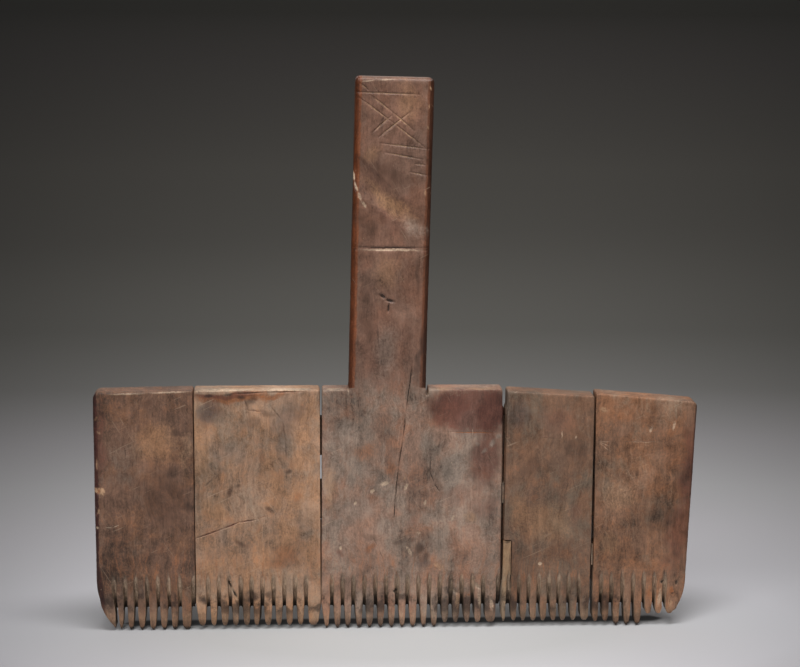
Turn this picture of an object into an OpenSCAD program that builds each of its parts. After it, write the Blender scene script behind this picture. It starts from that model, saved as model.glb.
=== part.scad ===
// Wool carding comb: five upright boards joined edge to edge by loose tongues,
// with a row of teeth sawn along the bottom and a handle left standing on the middle board.
// Millimetres. +X is right, +Y is back, +Z is up. The comb stands on the tips of its teeth,
// and the origin is on the surface below the middle of the row.

/* [Boards] */
// Thickness of every board and of the handle
board_t = 14; // [12:0.5:18]
// Height of the middle boards above the tips
row_h = 124.7; // [115:0.1:140]
// Width of the left end board, measured at the tips
left_end_w = 49.9; // [44:0.1:60]
// Width of the left inner board
left_inner_w = 63.1; // [52:0.1:74]
// Width of the middle board, which carries the handle
centre_w = 91; // [76:0.1:104]
// Width of the right inner board
right_inner_w = 45.5; // [38:0.1:56]
// Width of the right end board
right_end_w = 51.4; // [46:0.1:62]
// How much the left end board's top edge falls toward its outer end
left_end_fall = 0.9; // [0:0.1:5]
// How much lower the right inner board starts than the middle board
right_inner_step = 0.9; // [0:0.1:5]
// How much the right inner board's top edge falls from left to right
right_inner_fall = 2.8; // [0:0.1:5]
// How much lower the right end board starts than the middle board
right_end_step = 2.4; // [0:0.1:7]
// How much the right end board's top edge falls toward its outer end
right_end_fall = 4.6; // [0:0.1:8]

/* [Worn edges] */
// Radius of the two top outer corners, seen from the front
outer_corner_r = 4; // [1:0.5:10]
// Radius of the boards' top corners at the joints, seen from the front
joint_corner_r = 1.2; // [0.4:0.1:3]
// Rounding along the boards' top edges, front and back
top_edge_r = 1; // [0.5:0.5:5]
// Rounding along the two outer ends, front and back
end_edge_r = 2.5; // [1:0.5:5]
// Height over which the left end sweeps in to its tip
left_sweep_h = 28; // [14:1:50]
// How far the left end sweeps in
left_sweep_w = 10.5; // [3:0.5:11]
// How far the right end leans in, from its top corner down to the tips
right_lean_w = 4.4; // [0:0.1:6]
// Height over which the right end sweeps in to its tip
right_sweep_h = 30; // [20:1:60]
// How far the right end sweeps in, beside its lean
right_sweep_w = 8.5; // [3:0.5:13]

/* [Joints] */
// Gap of the left joint, from tips to top
left_gap = 0.3; // [0.1:0.1:2]
// Gap of the joint left of the middle board, at the tips
left_centre_gap_low = 0.4; // [0.2:0.1:2]
// The same gap at the top edge
left_centre_gap_top = 1.2; // [0.2:0.1:3]
// Gap of the joint right of the middle board, at the tips
right_centre_gap_low = 0.5; // [0.2:0.1:2]
// The same gap at the top edge
right_centre_gap_top = 2.1; // [0.2:0.1:3]
// Gap of the right joint, at the tips
right_gap_low = 1.2; // [0.2:0.1:2]
// The same gap at the top edge
right_gap_top = 0.4; // [0.2:0.1:3]
// Thickness of a loose tongue
tongue_t = 5; // [3:0.5:6]
// Height of a loose tongue
tongue_h = 19.5; // [12:0.5:26]
// How far a tongue reaches into a board, from the middle of the joint
tongue_reach = 13.5; // [8:0.5:16]
// How far below the middle boards' top edge the upper tongues end
upper_tongue_down = 14.9; // [14:0.1:23]
// Distance from one tongue down to the next
tongue_pitch = 32.9; // [27:0.1:36]
// Chamfer on the corners of a tongue
tongue_chamfer = 1.5; // [0.5:0.1:3]
// Clearance above and below a tongue in its mortise
mortise_clearance = 0.2; // [0.1:0.1:1]
// Clearance past the end of a tongue in its mortise
mortise_end_clearance = 0.5; // [0.1:0.1:2]

/* [Teeth] */
// Height of the pointed tops of the grooves above the tips
groove_top = 32.4; // [26:0.1:36]
// Height of the ridge where the front and back grooves meet
ridge_h = 10.4; // [6:0.1:14]
// Width of a slot below its pointed top
slot_w = 2.3; // [1.6:0.1:3]
// Width of a slot at the tips
slot_mouth_w = 3.4; // [2.6:0.1:3.8]
// Height of a slot's pointed top
slot_arch_h = 11; // [6:0.5:14]
// Height of the whittled point of a tooth
tip_h = 2.4; // [1:0.1:4]
// Width of a tooth's tip, as a share of its width above the point
tip_share = 0.45; // [0.2:0.05:0.8]
// Thickness of the teeth at their tips
tip_t = 11; // [8:0.5:12]
// Rounding of the tips, seen from the end of the row
tip_side_r = 3.5; // [1:0.5:4]
// Height at which the boards begin to thin toward the tips
thinning_h = 45; // [34:1:60]
// First slot of the left end board, from that board's left edge
left_end_first = 9; // [6:0.1:10]
// Distance between the slots of the left end board
left_end_pitch = 5.5; // [5:0.05:7]
// First slot of the left inner board
left_inner_first = 6.1; // [4:0.1:8]
// Distance between the slots of the left inner board
left_inner_pitch = 5.5; // [5:0.05:7]
// First slot of the middle board
centre_first = 5.2; // [4:0.1:8]
// Distance between the slots of the middle board
centre_pitch = 5.5; // [5:0.05:7]
// First slot of the right inner board
right_inner_first = 3.9; // [3.5:0.1:6]
// Distance between the slots of the right inner board
right_inner_pitch = 5.1; // [5:0.05:7]
// First slot of the right end board
right_end_first = 4.5; // [4:0.1:8]
// Distance between the slots of the right end board
right_end_pitch = 5.45; // [5:0.05:7]
// Least width left between the last slot's middle and the next edge
last_tooth_w = 5; // [4.5:0.1:6]
// Least width left at the right end board's outer end, where the corner tooth is broad
corner_tooth_w = 12; // [9:0.5:16]
// How far inside its edge a board's half slot lies, where a joint has one
half_slot_inset = 0.9; // [0.4:0.1:1]
// How far the slot beside the left corner tooth leans to the right at the tips
corner_slot_lean = 1.8; // [0:0.1:2]
// How far the broad joint teeth are pared in at the tips
pared_w = 1.6; // [0.4:0.1:2]
// How far the narrow joint teeth right of the middle board are pared in
narrow_pared_w = 0.5; // [0.2:0.1:0.8]
// Height of that paring
pared_h = 14; // [6:1:20]

/* [Worn and broken teeth] */
// How much shorter the left inner board's teeth are
left_inner_short = 1.6; // [0:0.1:4]
// How much shorter the right inner board's teeth are
right_inner_short = 2.7; // [0:0.1:4]
// Number of worn teeth at the right of the middle board
centre_worn_teeth = 5; // [0:1:10]
// How much those teeth are worn
centre_worn_by = 2.6; // [0.2:0.1:4]
// Number of worn teeth at the left of the right end board
right_end_worn_teeth = 2; // [0:1:3]
// How much those teeth are worn
right_end_worn_by = 2.4; // [0.2:0.1:4]
// Number of broken teeth at the outer corner of the right end board
right_end_broken_teeth = 3; // [0:1:4]
// How much is missing from them
right_end_broken_by = 6.2; // [0.2:0.1:7]

/* [Handle] */
// Width of the handle
handle_w = 39; // [32:0.1:44]
// Height of the handle above the boards
handle_h = 155.2; // [120:0.1:170]
// Distance from the middle board's left edge to the handle
handle_from_left = 13.4; // [10:0.1:30]
// Lean of the handle to the right, in degrees
handle_lean = 1.21; // [0:0.01:3]
// Rounding along the handle's four long edges
handle_edge_r = 2.5; // [1:0.5:5]
// Rounding of the handle's end, front and back
handle_end_r = 2.5; // [1:0.5:5]
// Radius of the handle's two end corners, seen from the front
handle_corner_r = 2.5; // [1:0.5:10]
// Width of the saw cuts that run past the two shoulders
kerf_w = 1; // [0.5:0.1:2]
// Depth of those saw cuts below the boards' top edge
kerf_d = 2.4; // [1:0.1:8]
// Height of the scored line above the boards' top edge
score_up = 70.5; // [40:0.1:80]
// Width of the scored line
score_w = 0.9; // [0.4:0.1:2]
// Depth of the scored line
score_d = 0.6; // [0.2:0.1:1.5]
// Height of the thumb scoop above the boards' top edge, at the handle's left edge
scoop_up = 109.2; // [90:0.1:116]
// Slope of the scoop, in degrees below level
scoop_slope = 39.6; // [20:0.1:50]
// Radius of the scoop's hollow
scoop_r = 12; // [9:0.5:20]
// Depth of the scoop at the handle's left edge
scoop_left_d = 2.6; // [1:0.1:4]
// Depth of the scoop at the handle's right edge
scoop_right_d = 0.8; // [0.2:0.1:2]

/* [Repairs] */
// How far above the middle tongue's foot the fill in the joint right of the middle board begins
upper_fill_up = 8; // [4:0.1:8.4]
// Height of that fill
upper_fill_h = 10.9; // [5:0.1:11]
// How far above the lower tongue's foot the fill in the right joint begins
lower_fill_up = 8.1; // [3:0.1:8.4]
// Height of that fill
lower_fill_h = 11.2; // [4:0.1:11.4]
// How far the fills lie behind the boards' front
fill_recess = 0.9; // [0.6:0.1:1.5]
// Height of the top of the let-in tooth
let_in_top = 46; // [38:0.1:60]
// How far the let-in tooth's right side lies past the middle of the first slot
let_in_past_slot = 0.8; // [0.3:0.1:1]

/* [Hidden] */
$fn = 64;

// What cuts and overlaps reach past a surface
past = 1;
// How much fuller a worn edge is than a true quarter round, so that it meets the flats at a slight angle
fullness = 1.02;
// How far the arc of a swept-in end starts outside the straight edge that it leaves
sweep_start = 0.05;
// Depth at which the handle is one with the middle board
handle_root = 10;

// Boards are counted from the left: 0 left end, 1 left inner, 2 middle, 3 right inner, 4 right end.
LEFT_END = 0;
LEFT_INNER = 1;
CENTRE = 2;
RIGHT_INNER = 3;
RIGHT_END = 4;

// Joints are counted from the left as well: joint j lies between board j and board j + 1.
board_w = [left_end_w, left_inner_w, centre_w, right_inner_w, right_end_w];
gap_low = [left_gap, left_centre_gap_low, right_centre_gap_low, right_gap_low];
gap_top = [left_gap, left_centre_gap_top, right_centre_gap_top, right_gap_top];
// Share of each joint's opening, from tips to top, that is given by the board at its right
opening_right = [0.5, 0.5, 1, 0.5];

// Heights of each board's top edge, at its left and at its right
top_left = [
    row_h - left_end_fall,
    row_h,
    row_h,
    row_h - right_inner_step,
    row_h - right_end_step
];
top_right = [
    row_h,
    row_h,
    row_h,
    row_h - right_inner_step - right_inner_fall,
    row_h - right_end_step - right_end_fall
];

first_slot = [left_end_first, left_inner_first, centre_first, right_inner_first, right_end_first];
slot_pitch = [left_end_pitch, left_inner_pitch, centre_pitch, right_inner_pitch, right_end_pitch];
last_margin = [last_tooth_w, last_tooth_w, last_tooth_w, last_tooth_w, corner_tooth_w];
board_short = [0, left_inner_short, 0, right_inner_short, 0];

// Boards with a half slot at their right edge
half_slot = [true, false, true, false, false];
// How far the other joint edges are pared in at the tips, at a board's left and at its right
pared_left = [0, pared_w, pared_w, narrow_pared_w, narrow_pared_w];
pared_right = [0, pared_w, 0, narrow_pared_w, 0];

function total(list, count) = count < 1 ? 0 : list[count - 1] + total(list, count - 1);

row_w = total(board_w, 5) + total(gap_low, 4);
function left_x(b) = total(board_w, b) + total(gap_low, b) - row_w / 2;
function right_x(b) = left_x(b) + board_w[b];

// Middle of a joint at the tips, and the place of its two edges at a height
function joint_x(j) = right_x(j) + gap_low[j] / 2;
function opening(j, z) = (gap_top[j] - gap_low[j]) * z / row_h;
function joint_left_edge(j, z) = right_x(j) - (1 - opening_right[j]) * opening(j, z);
function joint_right_edge(j, z) = right_x(j) + gap_low[j] + opening_right[j] * opening(j, z);

// The right end leans about the foot of its rounded top corner, so that its widest place stays there.
lean_top = top_right[RIGHT_END] - outer_corner_r;
lean_angle = atan2(right_lean_w, lean_top);
function lean_in(z) = right_lean_w * (1 - z / lean_top);

function board_left_edge(b, z) = b == LEFT_END ? left_x(b) : joint_right_edge(b - 1, z);
function board_right_edge(b, z) = b == RIGHT_END ? right_x(b) - lean_in(z) : joint_left_edge(b, z);

function slot_count(b) = floor((board_w[b] - first_slot[b] - last_margin[b]) / slot_pitch[b]) + 1;
function slot_x(b, i) = left_x(b) + first_slot[b] + slot_pitch[b] * i;

// Only the slot beside the left corner tooth leans.
function slot_lean(b, i) = b == LEFT_END && i == 0 ? corner_slot_lean : 0;

// Half of a slot's width at a height below its pointed top; the leaning slot doesn't widen
function slot_half(z, lean) =
    lean > 0 ? slot_w / 2 : (slot_mouth_w + (slot_w - slot_mouth_w) * z / slot_spring) / 2;
function slot_middle(b, i, z) = slot_x(b, i) + slot_lean(b, i) * (1 - z / slot_spring);
function slot_left_wall(b, i, z) = slot_middle(b, i, z) - slot_half(z, slot_lean(b, i));
function slot_right_wall(b, i, z) = slot_middle(b, i, z) + slot_half(z, slot_lean(b, i));

// Radius of an arc that leaves a straight edge and sweeps in by w over a height h
function sweep_r(h, w) = (h * h + w * w) / (2 * w);

// How far a board's outline stands in from its edges at a height near the tips
function sweep_in(z, h, w, angle) =
    sweep_r(h, w) * cos(angle) - sqrt(pow(sweep_r(h, w), 2) - pow(h + sweep_r(h, w) * sin(angle) - z, 2));
function pared_in(w, z) = w * max(0, 1 - z / pared_h);
function left_in(b, z) =
    b == LEFT_END ? sweep_in(z, left_sweep_h, left_sweep_w, 0) : pared_in(pared_left[b], z);
function right_in(b, z) =
    b == RIGHT_END ? lean_in(right_sweep_h) + sweep_in(z, right_sweep_h, right_sweep_w, lean_angle) :
    half_slot[b] ? half_slot_inset + slot_half(z, 0) :
    pared_in(pared_right[b], z);

// A tooth lies between two slots, or between a slot and the board's edge.
function tooth_left(b, i, z) = i == 0 ? left_x(b) + left_in(b, z) : slot_right_wall(b, i - 1, z);
function tooth_right(b, i, z) = i == slot_count(b) ? right_x(b) - right_in(b, z) : slot_left_wall(b, i, z);
function from_right(b, i) = slot_count(b) - i;
function tooth_wear(b, i) =
    b == CENTRE && from_right(b, i) < centre_worn_teeth ? centre_worn_by :
    b == RIGHT_END && from_right(b, i) < right_end_broken_teeth ? right_end_broken_by :
    b == RIGHT_END && i < right_end_worn_teeth ? right_end_worn_by :
    board_short[b];

// Heights of the three tongues' feet, from the top one down
function tongue_foot(n) = row_h - upper_tongue_down - tongue_h - tongue_pitch * n;

// Front and back faces of the tongues, where the fills and the let-in tooth seat
tongue_face = tongue_t / 2;
board_face = board_t / 2;

// Radius of a pointed slot top drawn with two arcs
arch_r = (slot_arch_h * slot_arch_h + slot_w * slot_w / 4) / slot_w;
slot_spring = groove_top - slot_arch_h;

// Extrudes a front view, drawn as X and Z, through the whole thickness and a little past it
module through_thickness() {
    rotate([90, 0, 0])
        linear_extrude(board_t + 2 * past, center = true)
            children();
}

// Extrudes an end view, drawn as Y and Z, from one X to another
module along_row(x1, x2) {
    translate([x1, 0, 0])
        rotate([90, 0, 90])
            linear_extrude(x2 - x1)
                children();
}

// What a rounded corner takes away: c is the arc's centre, and a and b are the two edges' normals
module corner_waste(c, r, a, b) {
    translate(c)
        difference() {
            polygon([[0, 0], 2 * r * a, 2 * r * (a + b), 2 * r * b]);
            circle(fullness * r);
        }
}

// Angle of a board's top edge above level, in degrees
function top_angle(b) = atan2(top_right[b] - top_left[b], board_w[b]);
function top_z(b, x) = top_left[b] + (x - left_x(b)) * tan(top_angle(b));
function top_normal(b) = [-sin(top_angle(b)), cos(top_angle(b))];

module top_corners_waste(b) {
    left_r = b == LEFT_END ? outer_corner_r : joint_corner_r;
    right_r = b == RIGHT_END ? outer_corner_r : joint_corner_r;
    left_c = board_left_edge(b, top_left[b] - left_r) + left_r;
    right_c = board_right_edge(b, top_right[b] - right_r) - right_r;
    drop = 1 / cos(top_angle(b));
    corner_waste([left_c, top_z(b, left_c) - left_r * drop], left_r, [-1, 0], top_normal(b));
    corner_waste([right_c, top_z(b, right_c) - right_r * drop], right_r, [1, 0], top_normal(b));
}

// The swept-in lower corner of an end board: x is where its arc leaves the outer edge, leaning by an angle,
// and side is -1 at the left and 1 at the right
module sweep_waste(x, side, h, w, angle) {
    r = sweep_r(h, w);
    difference() {
        translate([side > 0 ? x - 2 * w : x - past, -past])
            square([2 * w + past, h + past]);
        translate([x - side * r * cos(angle), h + r * sin(angle)])
            circle(r + sweep_start, $fn = 4 * $fn);
    }
}

// A joint edge pared in by w toward the tips: side is -1 for a board's left edge and 1 for its right
module pared_edge_waste(x, side, w) {
    polygon([
        [x + side * past, pared_h + pared_h * past / w],
        [x + side * past, -past],
        [x - side * (w + w * past / pared_h), -past]
    ]);
}

module lower_corners_waste(b) {
    if (b == LEFT_END)
        sweep_waste(left_x(b), -1, left_sweep_h, left_sweep_w, 0);
    else
        pared_edge_waste(left_x(b), -1, pared_left[b]);
    if (b == RIGHT_END)
        sweep_waste(right_x(b) - lean_in(right_sweep_h), 1, right_sweep_h, right_sweep_w, lean_angle);
    else if (!half_slot[b])
        pared_edge_waste(right_x(b), 1, pared_right[b]);
}

module board_front(b) {
    left_top = board_left_edge(b, top_left[b]);
    right_top = board_right_edge(b, top_right[b]);
    difference() {
        polygon([
            [board_left_edge(b, 0), 0],
            [board_right_edge(b, 0), 0],
            [right_top, top_z(b, right_top)],
            [left_top, top_z(b, left_top)]
        ]);
        top_corners_waste(b);
        lower_corners_waste(b);
    }
}

// End view of a board: full thickness above, thinner toward rounded tips that are worn flat below
module board_end_view(short) {
    tip_y = tip_t / 2;
    round_y = tip_y - tip_side_r;
    round_z = short + 0.8 * tip_side_r;
    polygon([
        [-tip_y, round_z],
        [tip_y, round_z],
        [board_face, thinning_h],
        [board_face, row_h + past],
        [-board_face, row_h + past],
        [-board_face, thinning_h]
    ]);
    intersection() {
        translate([-tip_y, short])
            square([tip_t, round_z - short]);
        union() {
            translate([-round_y, short])
                square([2 * round_y, round_z - short]);
            for (side = [-1, 1])
                translate([side * round_y, round_z])
                    circle(tip_side_r);
        }
    }
}

// Rounds a board's top edge, front and back, along its slope
module top_edge_waste(b) {
    flat = board_t - 2 * top_edge_r;
    translate([left_x(b), 0, top_left[b]])
        rotate([0, -top_angle(b), 0])
            translate([-5 * past, 0, 0])
                difference() {
                    translate([0, -board_face - past, -top_edge_r])
                        cube([board_w[b] + 10 * past, board_t + 2 * past, top_edge_r + 5 * past]);
                    translate([-past, -flat / 2, -top_edge_r - past])
                        cube([board_w[b] + 12 * past, flat, fullness * top_edge_r + past]);
                    for (side = [-1, 1])
                        translate([-past, side * flat / 2, -top_edge_r])
                            rotate([0, 90, 0])
                                cylinder(h = board_w[b] + 12 * past, r = fullness * top_edge_r);
                }
}

// Rounds an outer end at X = 0, front and back: side is -1 at the left and 1 at the right
module end_edge_waste(side) {
    flat = board_t - 2 * end_edge_r;
    translate([-side * end_edge_r, 0, -past])
        difference() {
            translate([side > 0 ? 0 : -end_edge_r - past, -board_face - past, 0])
                cube([end_edge_r + past, board_t + 2 * past, row_h + 3 * past]);
            translate([-fullness * end_edge_r, -flat / 2, -past])
                cube([2 * fullness * end_edge_r, flat, row_h + 5 * past]);
            for (y = [-flat / 2, flat / 2])
                translate([0, y, -past])
                    cylinder(h = row_h + 5 * past, r = fullness * end_edge_r);
        }
}

// Front view of one slot: a pointed top drawn with two arcs, and sides that open or lean toward the tips
module slot_front(lean = 0) {
    mouth = slot_half(0, lean);
    translate([0, slot_spring])
        intersection() {
            translate([arch_r - slot_w / 2, 0])
                circle(arch_r, $fn = 4 * $fn);
            translate([slot_w / 2 - arch_r, 0])
                circle(arch_r, $fn = 4 * $fn);
            translate([-slot_w / 2, 0])
                square([slot_w, slot_arch_h]);
        }
    polygon([
        [-slot_w / 2, slot_spring],
        [slot_w / 2, slot_spring],
        [lean + mouth, 0],
        [lean + mouth, -past],
        [lean - mouth, -past],
        [lean - mouth, 0]
    ]);
}

module slots_front(b) {
    for (i = [0 : slot_count(b) - 1])
        translate([slot_x(b, i), 0])
            slot_front(slot_lean(b, i));
    if (half_slot[b])
        translate([right_x(b) - half_slot_inset, 0])
            slot_front();
}

// End view of all that the slots take away: two ramps that rise from a ridge to the faces
module slot_ramps() {
    rise = (groove_top - ridge_h) / board_face;
    polygon([
        [0, ridge_h],
        [board_face + past, groove_top + rise * past],
        [board_face + past, -2 * past],
        [-board_face - past, -2 * past],
        [-board_face - past, groove_top + rise * past]
    ]);
}

// The waste around one tooth's whittled tip. A corner tooth that ends in a point above its foot has none.
module tip_waste(b, i) {
    foot = tooth_wear(b, i);
    x1 = tooth_left(b, i, foot);
    x2 = tooth_right(b, i, foot);
    bevel = (x2 - x1) * (1 - tip_share) / 2;
    reach = slot_w / 2;
    top = foot + tip_h;
    knee_left = [x1 + 0.4 * bevel, foot + 0.4 * tip_h];
    knee_right = [x2 - 0.4 * bevel, foot + 0.4 * tip_h];
    wall_left = [tooth_left(b, i, top), top];
    wall_right = [tooth_right(b, i, top), top];
    if (x2 > x1)
        difference() {
            translate([x1 - reach, -2 * past])
                square([x2 - x1 + 2 * reach, top + 0.3 * tip_h + 2 * past]);
            polygon([
                wall_left + 0.5 * (wall_left - knee_left),
                knee_left,
                [x1 + bevel, foot],
                [x2 - bevel, foot],
                knee_right,
                wall_right + 0.5 * (wall_right - knee_right)
            ]);
        }
}

module mortise(j, n) {
    foot = tongue_foot(n) - mortise_clearance;
    half = tongue_reach + mortise_end_clearance;
    translate([joint_x(j) - half, -tongue_face, foot])
        cube([2 * half, tongue_t, tongue_h + 2 * mortise_clearance]);
}

module mortises(b) {
    for (n = [0 : 2]) {
        if (b > LEFT_END)
            mortise(b - 1, n);
        if (b < RIGHT_END)
            mortise(b, n);
    }
}

module board(b) {
    difference() {
        intersection() {
            through_thickness()
                board_front(b);
            along_row(left_x(b) - past, right_x(b) + past)
                board_end_view(board_short[b]);
        }
        top_edge_waste(b);
        if (b == LEFT_END)
            translate([left_x(b), 0, 0])
                end_edge_waste(-1);
        if (b == RIGHT_END)
            translate([right_x(b), 0, lean_top])
                rotate([0, lean_angle, 0])
                    translate([0, 0, -lean_top])
                        end_edge_waste(1);
        intersection() {
            through_thickness()
                slots_front(b);
            along_row(left_x(b) - 3 * past, right_x(b) + 3 * past)
                slot_ramps();
        }
        through_thickness()
            for (i = [0 : slot_count(b)])
                tip_waste(b, i);
        mortises(b);
    }
}

// The handle from above, with its four long edges rounded
module handle_plan() {
    inner_y = board_face - handle_edge_r;
    difference() {
        translate([0, -board_face])
            square([handle_w, board_t]);
        for (side = [-1, 1]) {
            corner_waste([handle_edge_r, side * inner_y], handle_edge_r, [-1, 0], [0, side]);
            corner_waste([handle_w - handle_edge_r, side * inner_y], handle_edge_r, [1, 0], [0, side]);
        }
    }
}

module handle_front() {
    corner_z = handle_h - handle_corner_r;
    difference() {
        translate([-past, -handle_root - past])
            square([handle_w + 2 * past, handle_root + past + handle_h]);
        corner_waste([handle_corner_r, corner_z], handle_corner_r, [-1, 0], [0, 1]);
        corner_waste([handle_w - handle_corner_r, corner_z], handle_corner_r, [1, 0], [0, 1]);
    }
}

module handle_end_view() {
    inner_y = board_face - handle_end_r;
    difference() {
        translate([-board_face - past, -handle_root - past])
            square([board_t + 2 * past, handle_root + past + handle_h]);
        for (side = [-1, 1])
            corner_waste([side * inner_y, handle_h - handle_end_r], handle_end_r, [side, 0], [0, 1]);
    }
}

// A long round hollow that slopes down across the handle and grows shallower to the right
module thumb_scoop() {
    run = handle_w / cos(scoop_slope);
    fade = atan2(scoop_left_d - scoop_right_d, run);
    translate([0, -board_face + scoop_left_d - scoop_r, scoop_up])
        rotate([0, 90 + scoop_slope, 0])
            rotate([fade, 0, 0])
                translate([0, 0, -run / 2])
                    cylinder(h = 2 * run, r = scoop_r, $fn = 2 * $fn);
}

module scored_line() {
    translate([-past, -board_face, score_up])
        rotate([90, 0, 90])
            linear_extrude(handle_w + 2 * past)
                polygon([
                    [-past, -score_w],
                    [0, -score_w / 2],
                    [score_d, 0],
                    [0, score_w / 2],
                    [-past, score_w]
                ]);
}

module handle() {
    difference() {
        intersection() {
            translate([0, 0, -handle_root])
                linear_extrude(handle_root + handle_h + past)
                    handle_plan();
            through_thickness()
                handle_front();
            along_row(-past, handle_w + past)
                handle_end_view();
        }
        thumb_scoop();
        scored_line();
    }
}

// Saw cuts beside the handle, which run a little past the shoulders
module shoulder_kerfs() {
    for (x = [-kerf_w, handle_w])
        translate([x, -board_face - past, -kerf_d])
            cube([kerf_w, board_t + 2 * past, kerf_d + past]);
}

module at_handle() {
    translate([left_x(CENTRE) + handle_from_left, 0, row_h])
        rotate([0, handle_lean, 0])
            children();
}

// The old repair: a strip let into the front of the right inner board, with a tooth cut on it
module let_in_space() {
    right = right_inner_first + let_in_past_slot;
    translate([left_x(RIGHT_INNER) - 2 * past, -board_face - past, -past])
        cube([right + 2 * past, board_face - tongue_face + past, let_in_top + past]);
}

module tongue(j, n) {
    c = tongue_chamfer;
    translate([joint_x(j), 0, tongue_foot(n)])
        rotate([90, 0, 0])
            linear_extrude(tongue_t, center = true)
                polygon([
                    [-tongue_reach, c],
                    [c - tongue_reach, 0],
                    [tongue_reach - c, 0],
                    [tongue_reach, c],
                    [tongue_reach, tongue_h - c],
                    [tongue_reach - c, tongue_h],
                    [c - tongue_reach, tongue_h],
                    [-tongue_reach, tongue_h - c]
                ]);
}

// A sliver that fills a joint's gap in front of a tongue and touches both boards
module joint_fill(j, foot, height) {
    top = foot + height;
    translate([0, -tongue_face, 0])
        rotate([90, 0, 0])
            linear_extrude(board_face - tongue_face - fill_recess)
                polygon([
                    [joint_left_edge(j, foot), foot],
                    [joint_right_edge(j, foot), foot],
                    [joint_right_edge(j, top), top],
                    [joint_left_edge(j, top), top]
                ]);
}

module left_end_board() {
    color("#6f564c")
        board(LEFT_END);
}

module left_inner_board() {
    color("#855f45")
        board(LEFT_INNER);
}

module centre_board() {
    color("#7b6053")
        difference() {
            union() {
                board(CENTRE);
                at_handle()
                    handle();
            }
            at_handle()
                shoulder_kerfs();
        }
}

module right_inner_board() {
    color("#7c6453")
        difference() {
            board(RIGHT_INNER);
            let_in_space();
        }
}

module right_end_board() {
    color("#7a5d4a")
        board(RIGHT_END);
}

module let_in_tooth() {
    color("#a58464")
        intersection() {
            board(RIGHT_INNER);
            let_in_space();
        }
}

module right_centre_joint_fill() {
    color("#8f7660")
        joint_fill(2, tongue_foot(1) + upper_fill_up, upper_fill_h);
}

module right_joint_fill() {
    color("#8f7660")
        joint_fill(3, tongue_foot(2) + lower_fill_up, lower_fill_h);
}

module loose_tongue(j, n) {
    color("#6b4f3c")
        tongue(j, n);
}

left_end_board();
left_inner_board();
centre_board();
right_inner_board();
right_end_board();
let_in_tooth();
right_centre_joint_fill();
right_joint_fill();
loose_tongue(0, 0);  // left_joint_upper_tongue
loose_tongue(0, 1);  // left_joint_middle_tongue
loose_tongue(0, 2);  // left_joint_lower_tongue
loose_tongue(1, 0);  // left_centre_joint_upper_tongue
loose_tongue(1, 1);  // left_centre_joint_middle_tongue
loose_tongue(1, 2);  // left_centre_joint_lower_tongue
loose_tongue(2, 0);  // right_centre_joint_upper_tongue
loose_tongue(2, 1);  // right_centre_joint_middle_tongue
loose_tongue(2, 2);  // right_centre_joint_lower_tongue
loose_tongue(3, 0);  // right_joint_upper_tongue
loose_tongue(3, 1);  // right_joint_middle_tongue
loose_tongue(3, 2);  // right_joint_lower_tongue
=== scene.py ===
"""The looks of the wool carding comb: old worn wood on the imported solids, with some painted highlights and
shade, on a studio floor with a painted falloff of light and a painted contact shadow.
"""

import logging
import math
from dataclasses import dataclass, field, replace
from enum import Enum
from typing import ClassVar

import bpy
import numpy as np
from mathutils import Matrix, Vector


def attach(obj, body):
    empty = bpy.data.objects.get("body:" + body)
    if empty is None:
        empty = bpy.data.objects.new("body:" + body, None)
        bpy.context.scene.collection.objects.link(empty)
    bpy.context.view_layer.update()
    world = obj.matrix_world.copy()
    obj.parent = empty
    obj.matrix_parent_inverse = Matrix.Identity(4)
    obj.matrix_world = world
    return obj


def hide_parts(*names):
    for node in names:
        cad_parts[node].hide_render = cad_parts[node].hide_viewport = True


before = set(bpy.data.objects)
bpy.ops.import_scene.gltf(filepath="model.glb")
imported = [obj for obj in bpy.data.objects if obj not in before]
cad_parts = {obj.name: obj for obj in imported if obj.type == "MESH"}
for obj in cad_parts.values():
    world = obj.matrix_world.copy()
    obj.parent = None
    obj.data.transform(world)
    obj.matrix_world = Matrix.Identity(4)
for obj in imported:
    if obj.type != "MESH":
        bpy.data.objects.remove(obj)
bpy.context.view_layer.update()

log = logging.getLogger("comb")

MM = 0.001

Colour = tuple[float, float, float, float]
Point = tuple[float, float]
Triple = tuple[float, float, float]

# Gain that brings a noise, which lies close to its middle, to about 1 on both sides
WAVE_GAIN = 7.0

# Places on the comb in millimetres, and the lean of its handle in degrees, that the looks follow
GROOVE_TOP = 32.4
ROW_TOP = 124.7
HANDLE_LEFT = -24.55
HANDLE_W = 39.0
HANDLE_LEAN = 1.21

# Half of the boards' thickness at the tips and in full, and the height at which it is full
TIP_HALF = 5.5
FULL_HALF = 7.0
FULL_HEIGHT = 45.0

# How rough, how bumpy and how shiny all the wood is
WOOD_ROUGHNESS = 0.552
WOOD_BUMP = {"Strength": 0.51, "Distance": 0.05 * MM}
WOOD_SHEEN = {"IOR": 1.45, "Specular IOR Level": 0.39}

# Heights between which a kind of wear grows from nothing to full, in millimetres
TEETH_ROUNDED = (GROOVE_TOP + 4, GROOVE_TOP - 4)
TOP_ROUNDED = (ROW_TOP - 10, ROW_TOP - 6)
TIPS_LEFT_SHARP = (0.6, 2.6)
TEETH_FULLER = (28, 14)
TIPS_TAPER = (0.4, 9.4)
TEETH_WAVER = (GROOVE_TOP, GROOVE_TOP - 22)

# Distances from a board's side edges between which a kind of wear grows, in millimetres
SIDES_FULLER = (1.5, 3.0)
SIDES_WAVER = (1.0, 7.0)

# Share of the full rounding that the teeth get, and the least that any arris gets
TEETH_SHARE = 0.7
LEAST_SHARE = 0.25

# How fast a surface that turns to one side counts as facing it
FACING_GAIN = 1.6

# Weights below this are left out
LEAST_WEIGHT = 0.01

# Edges that turn by more than this, in degrees, are shaded sharp
SHARP_TURN = 50

# What lies in front of this Y, in millimetres, counts as the front, where marks are sunk
FRONT_Y = -4.8

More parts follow.
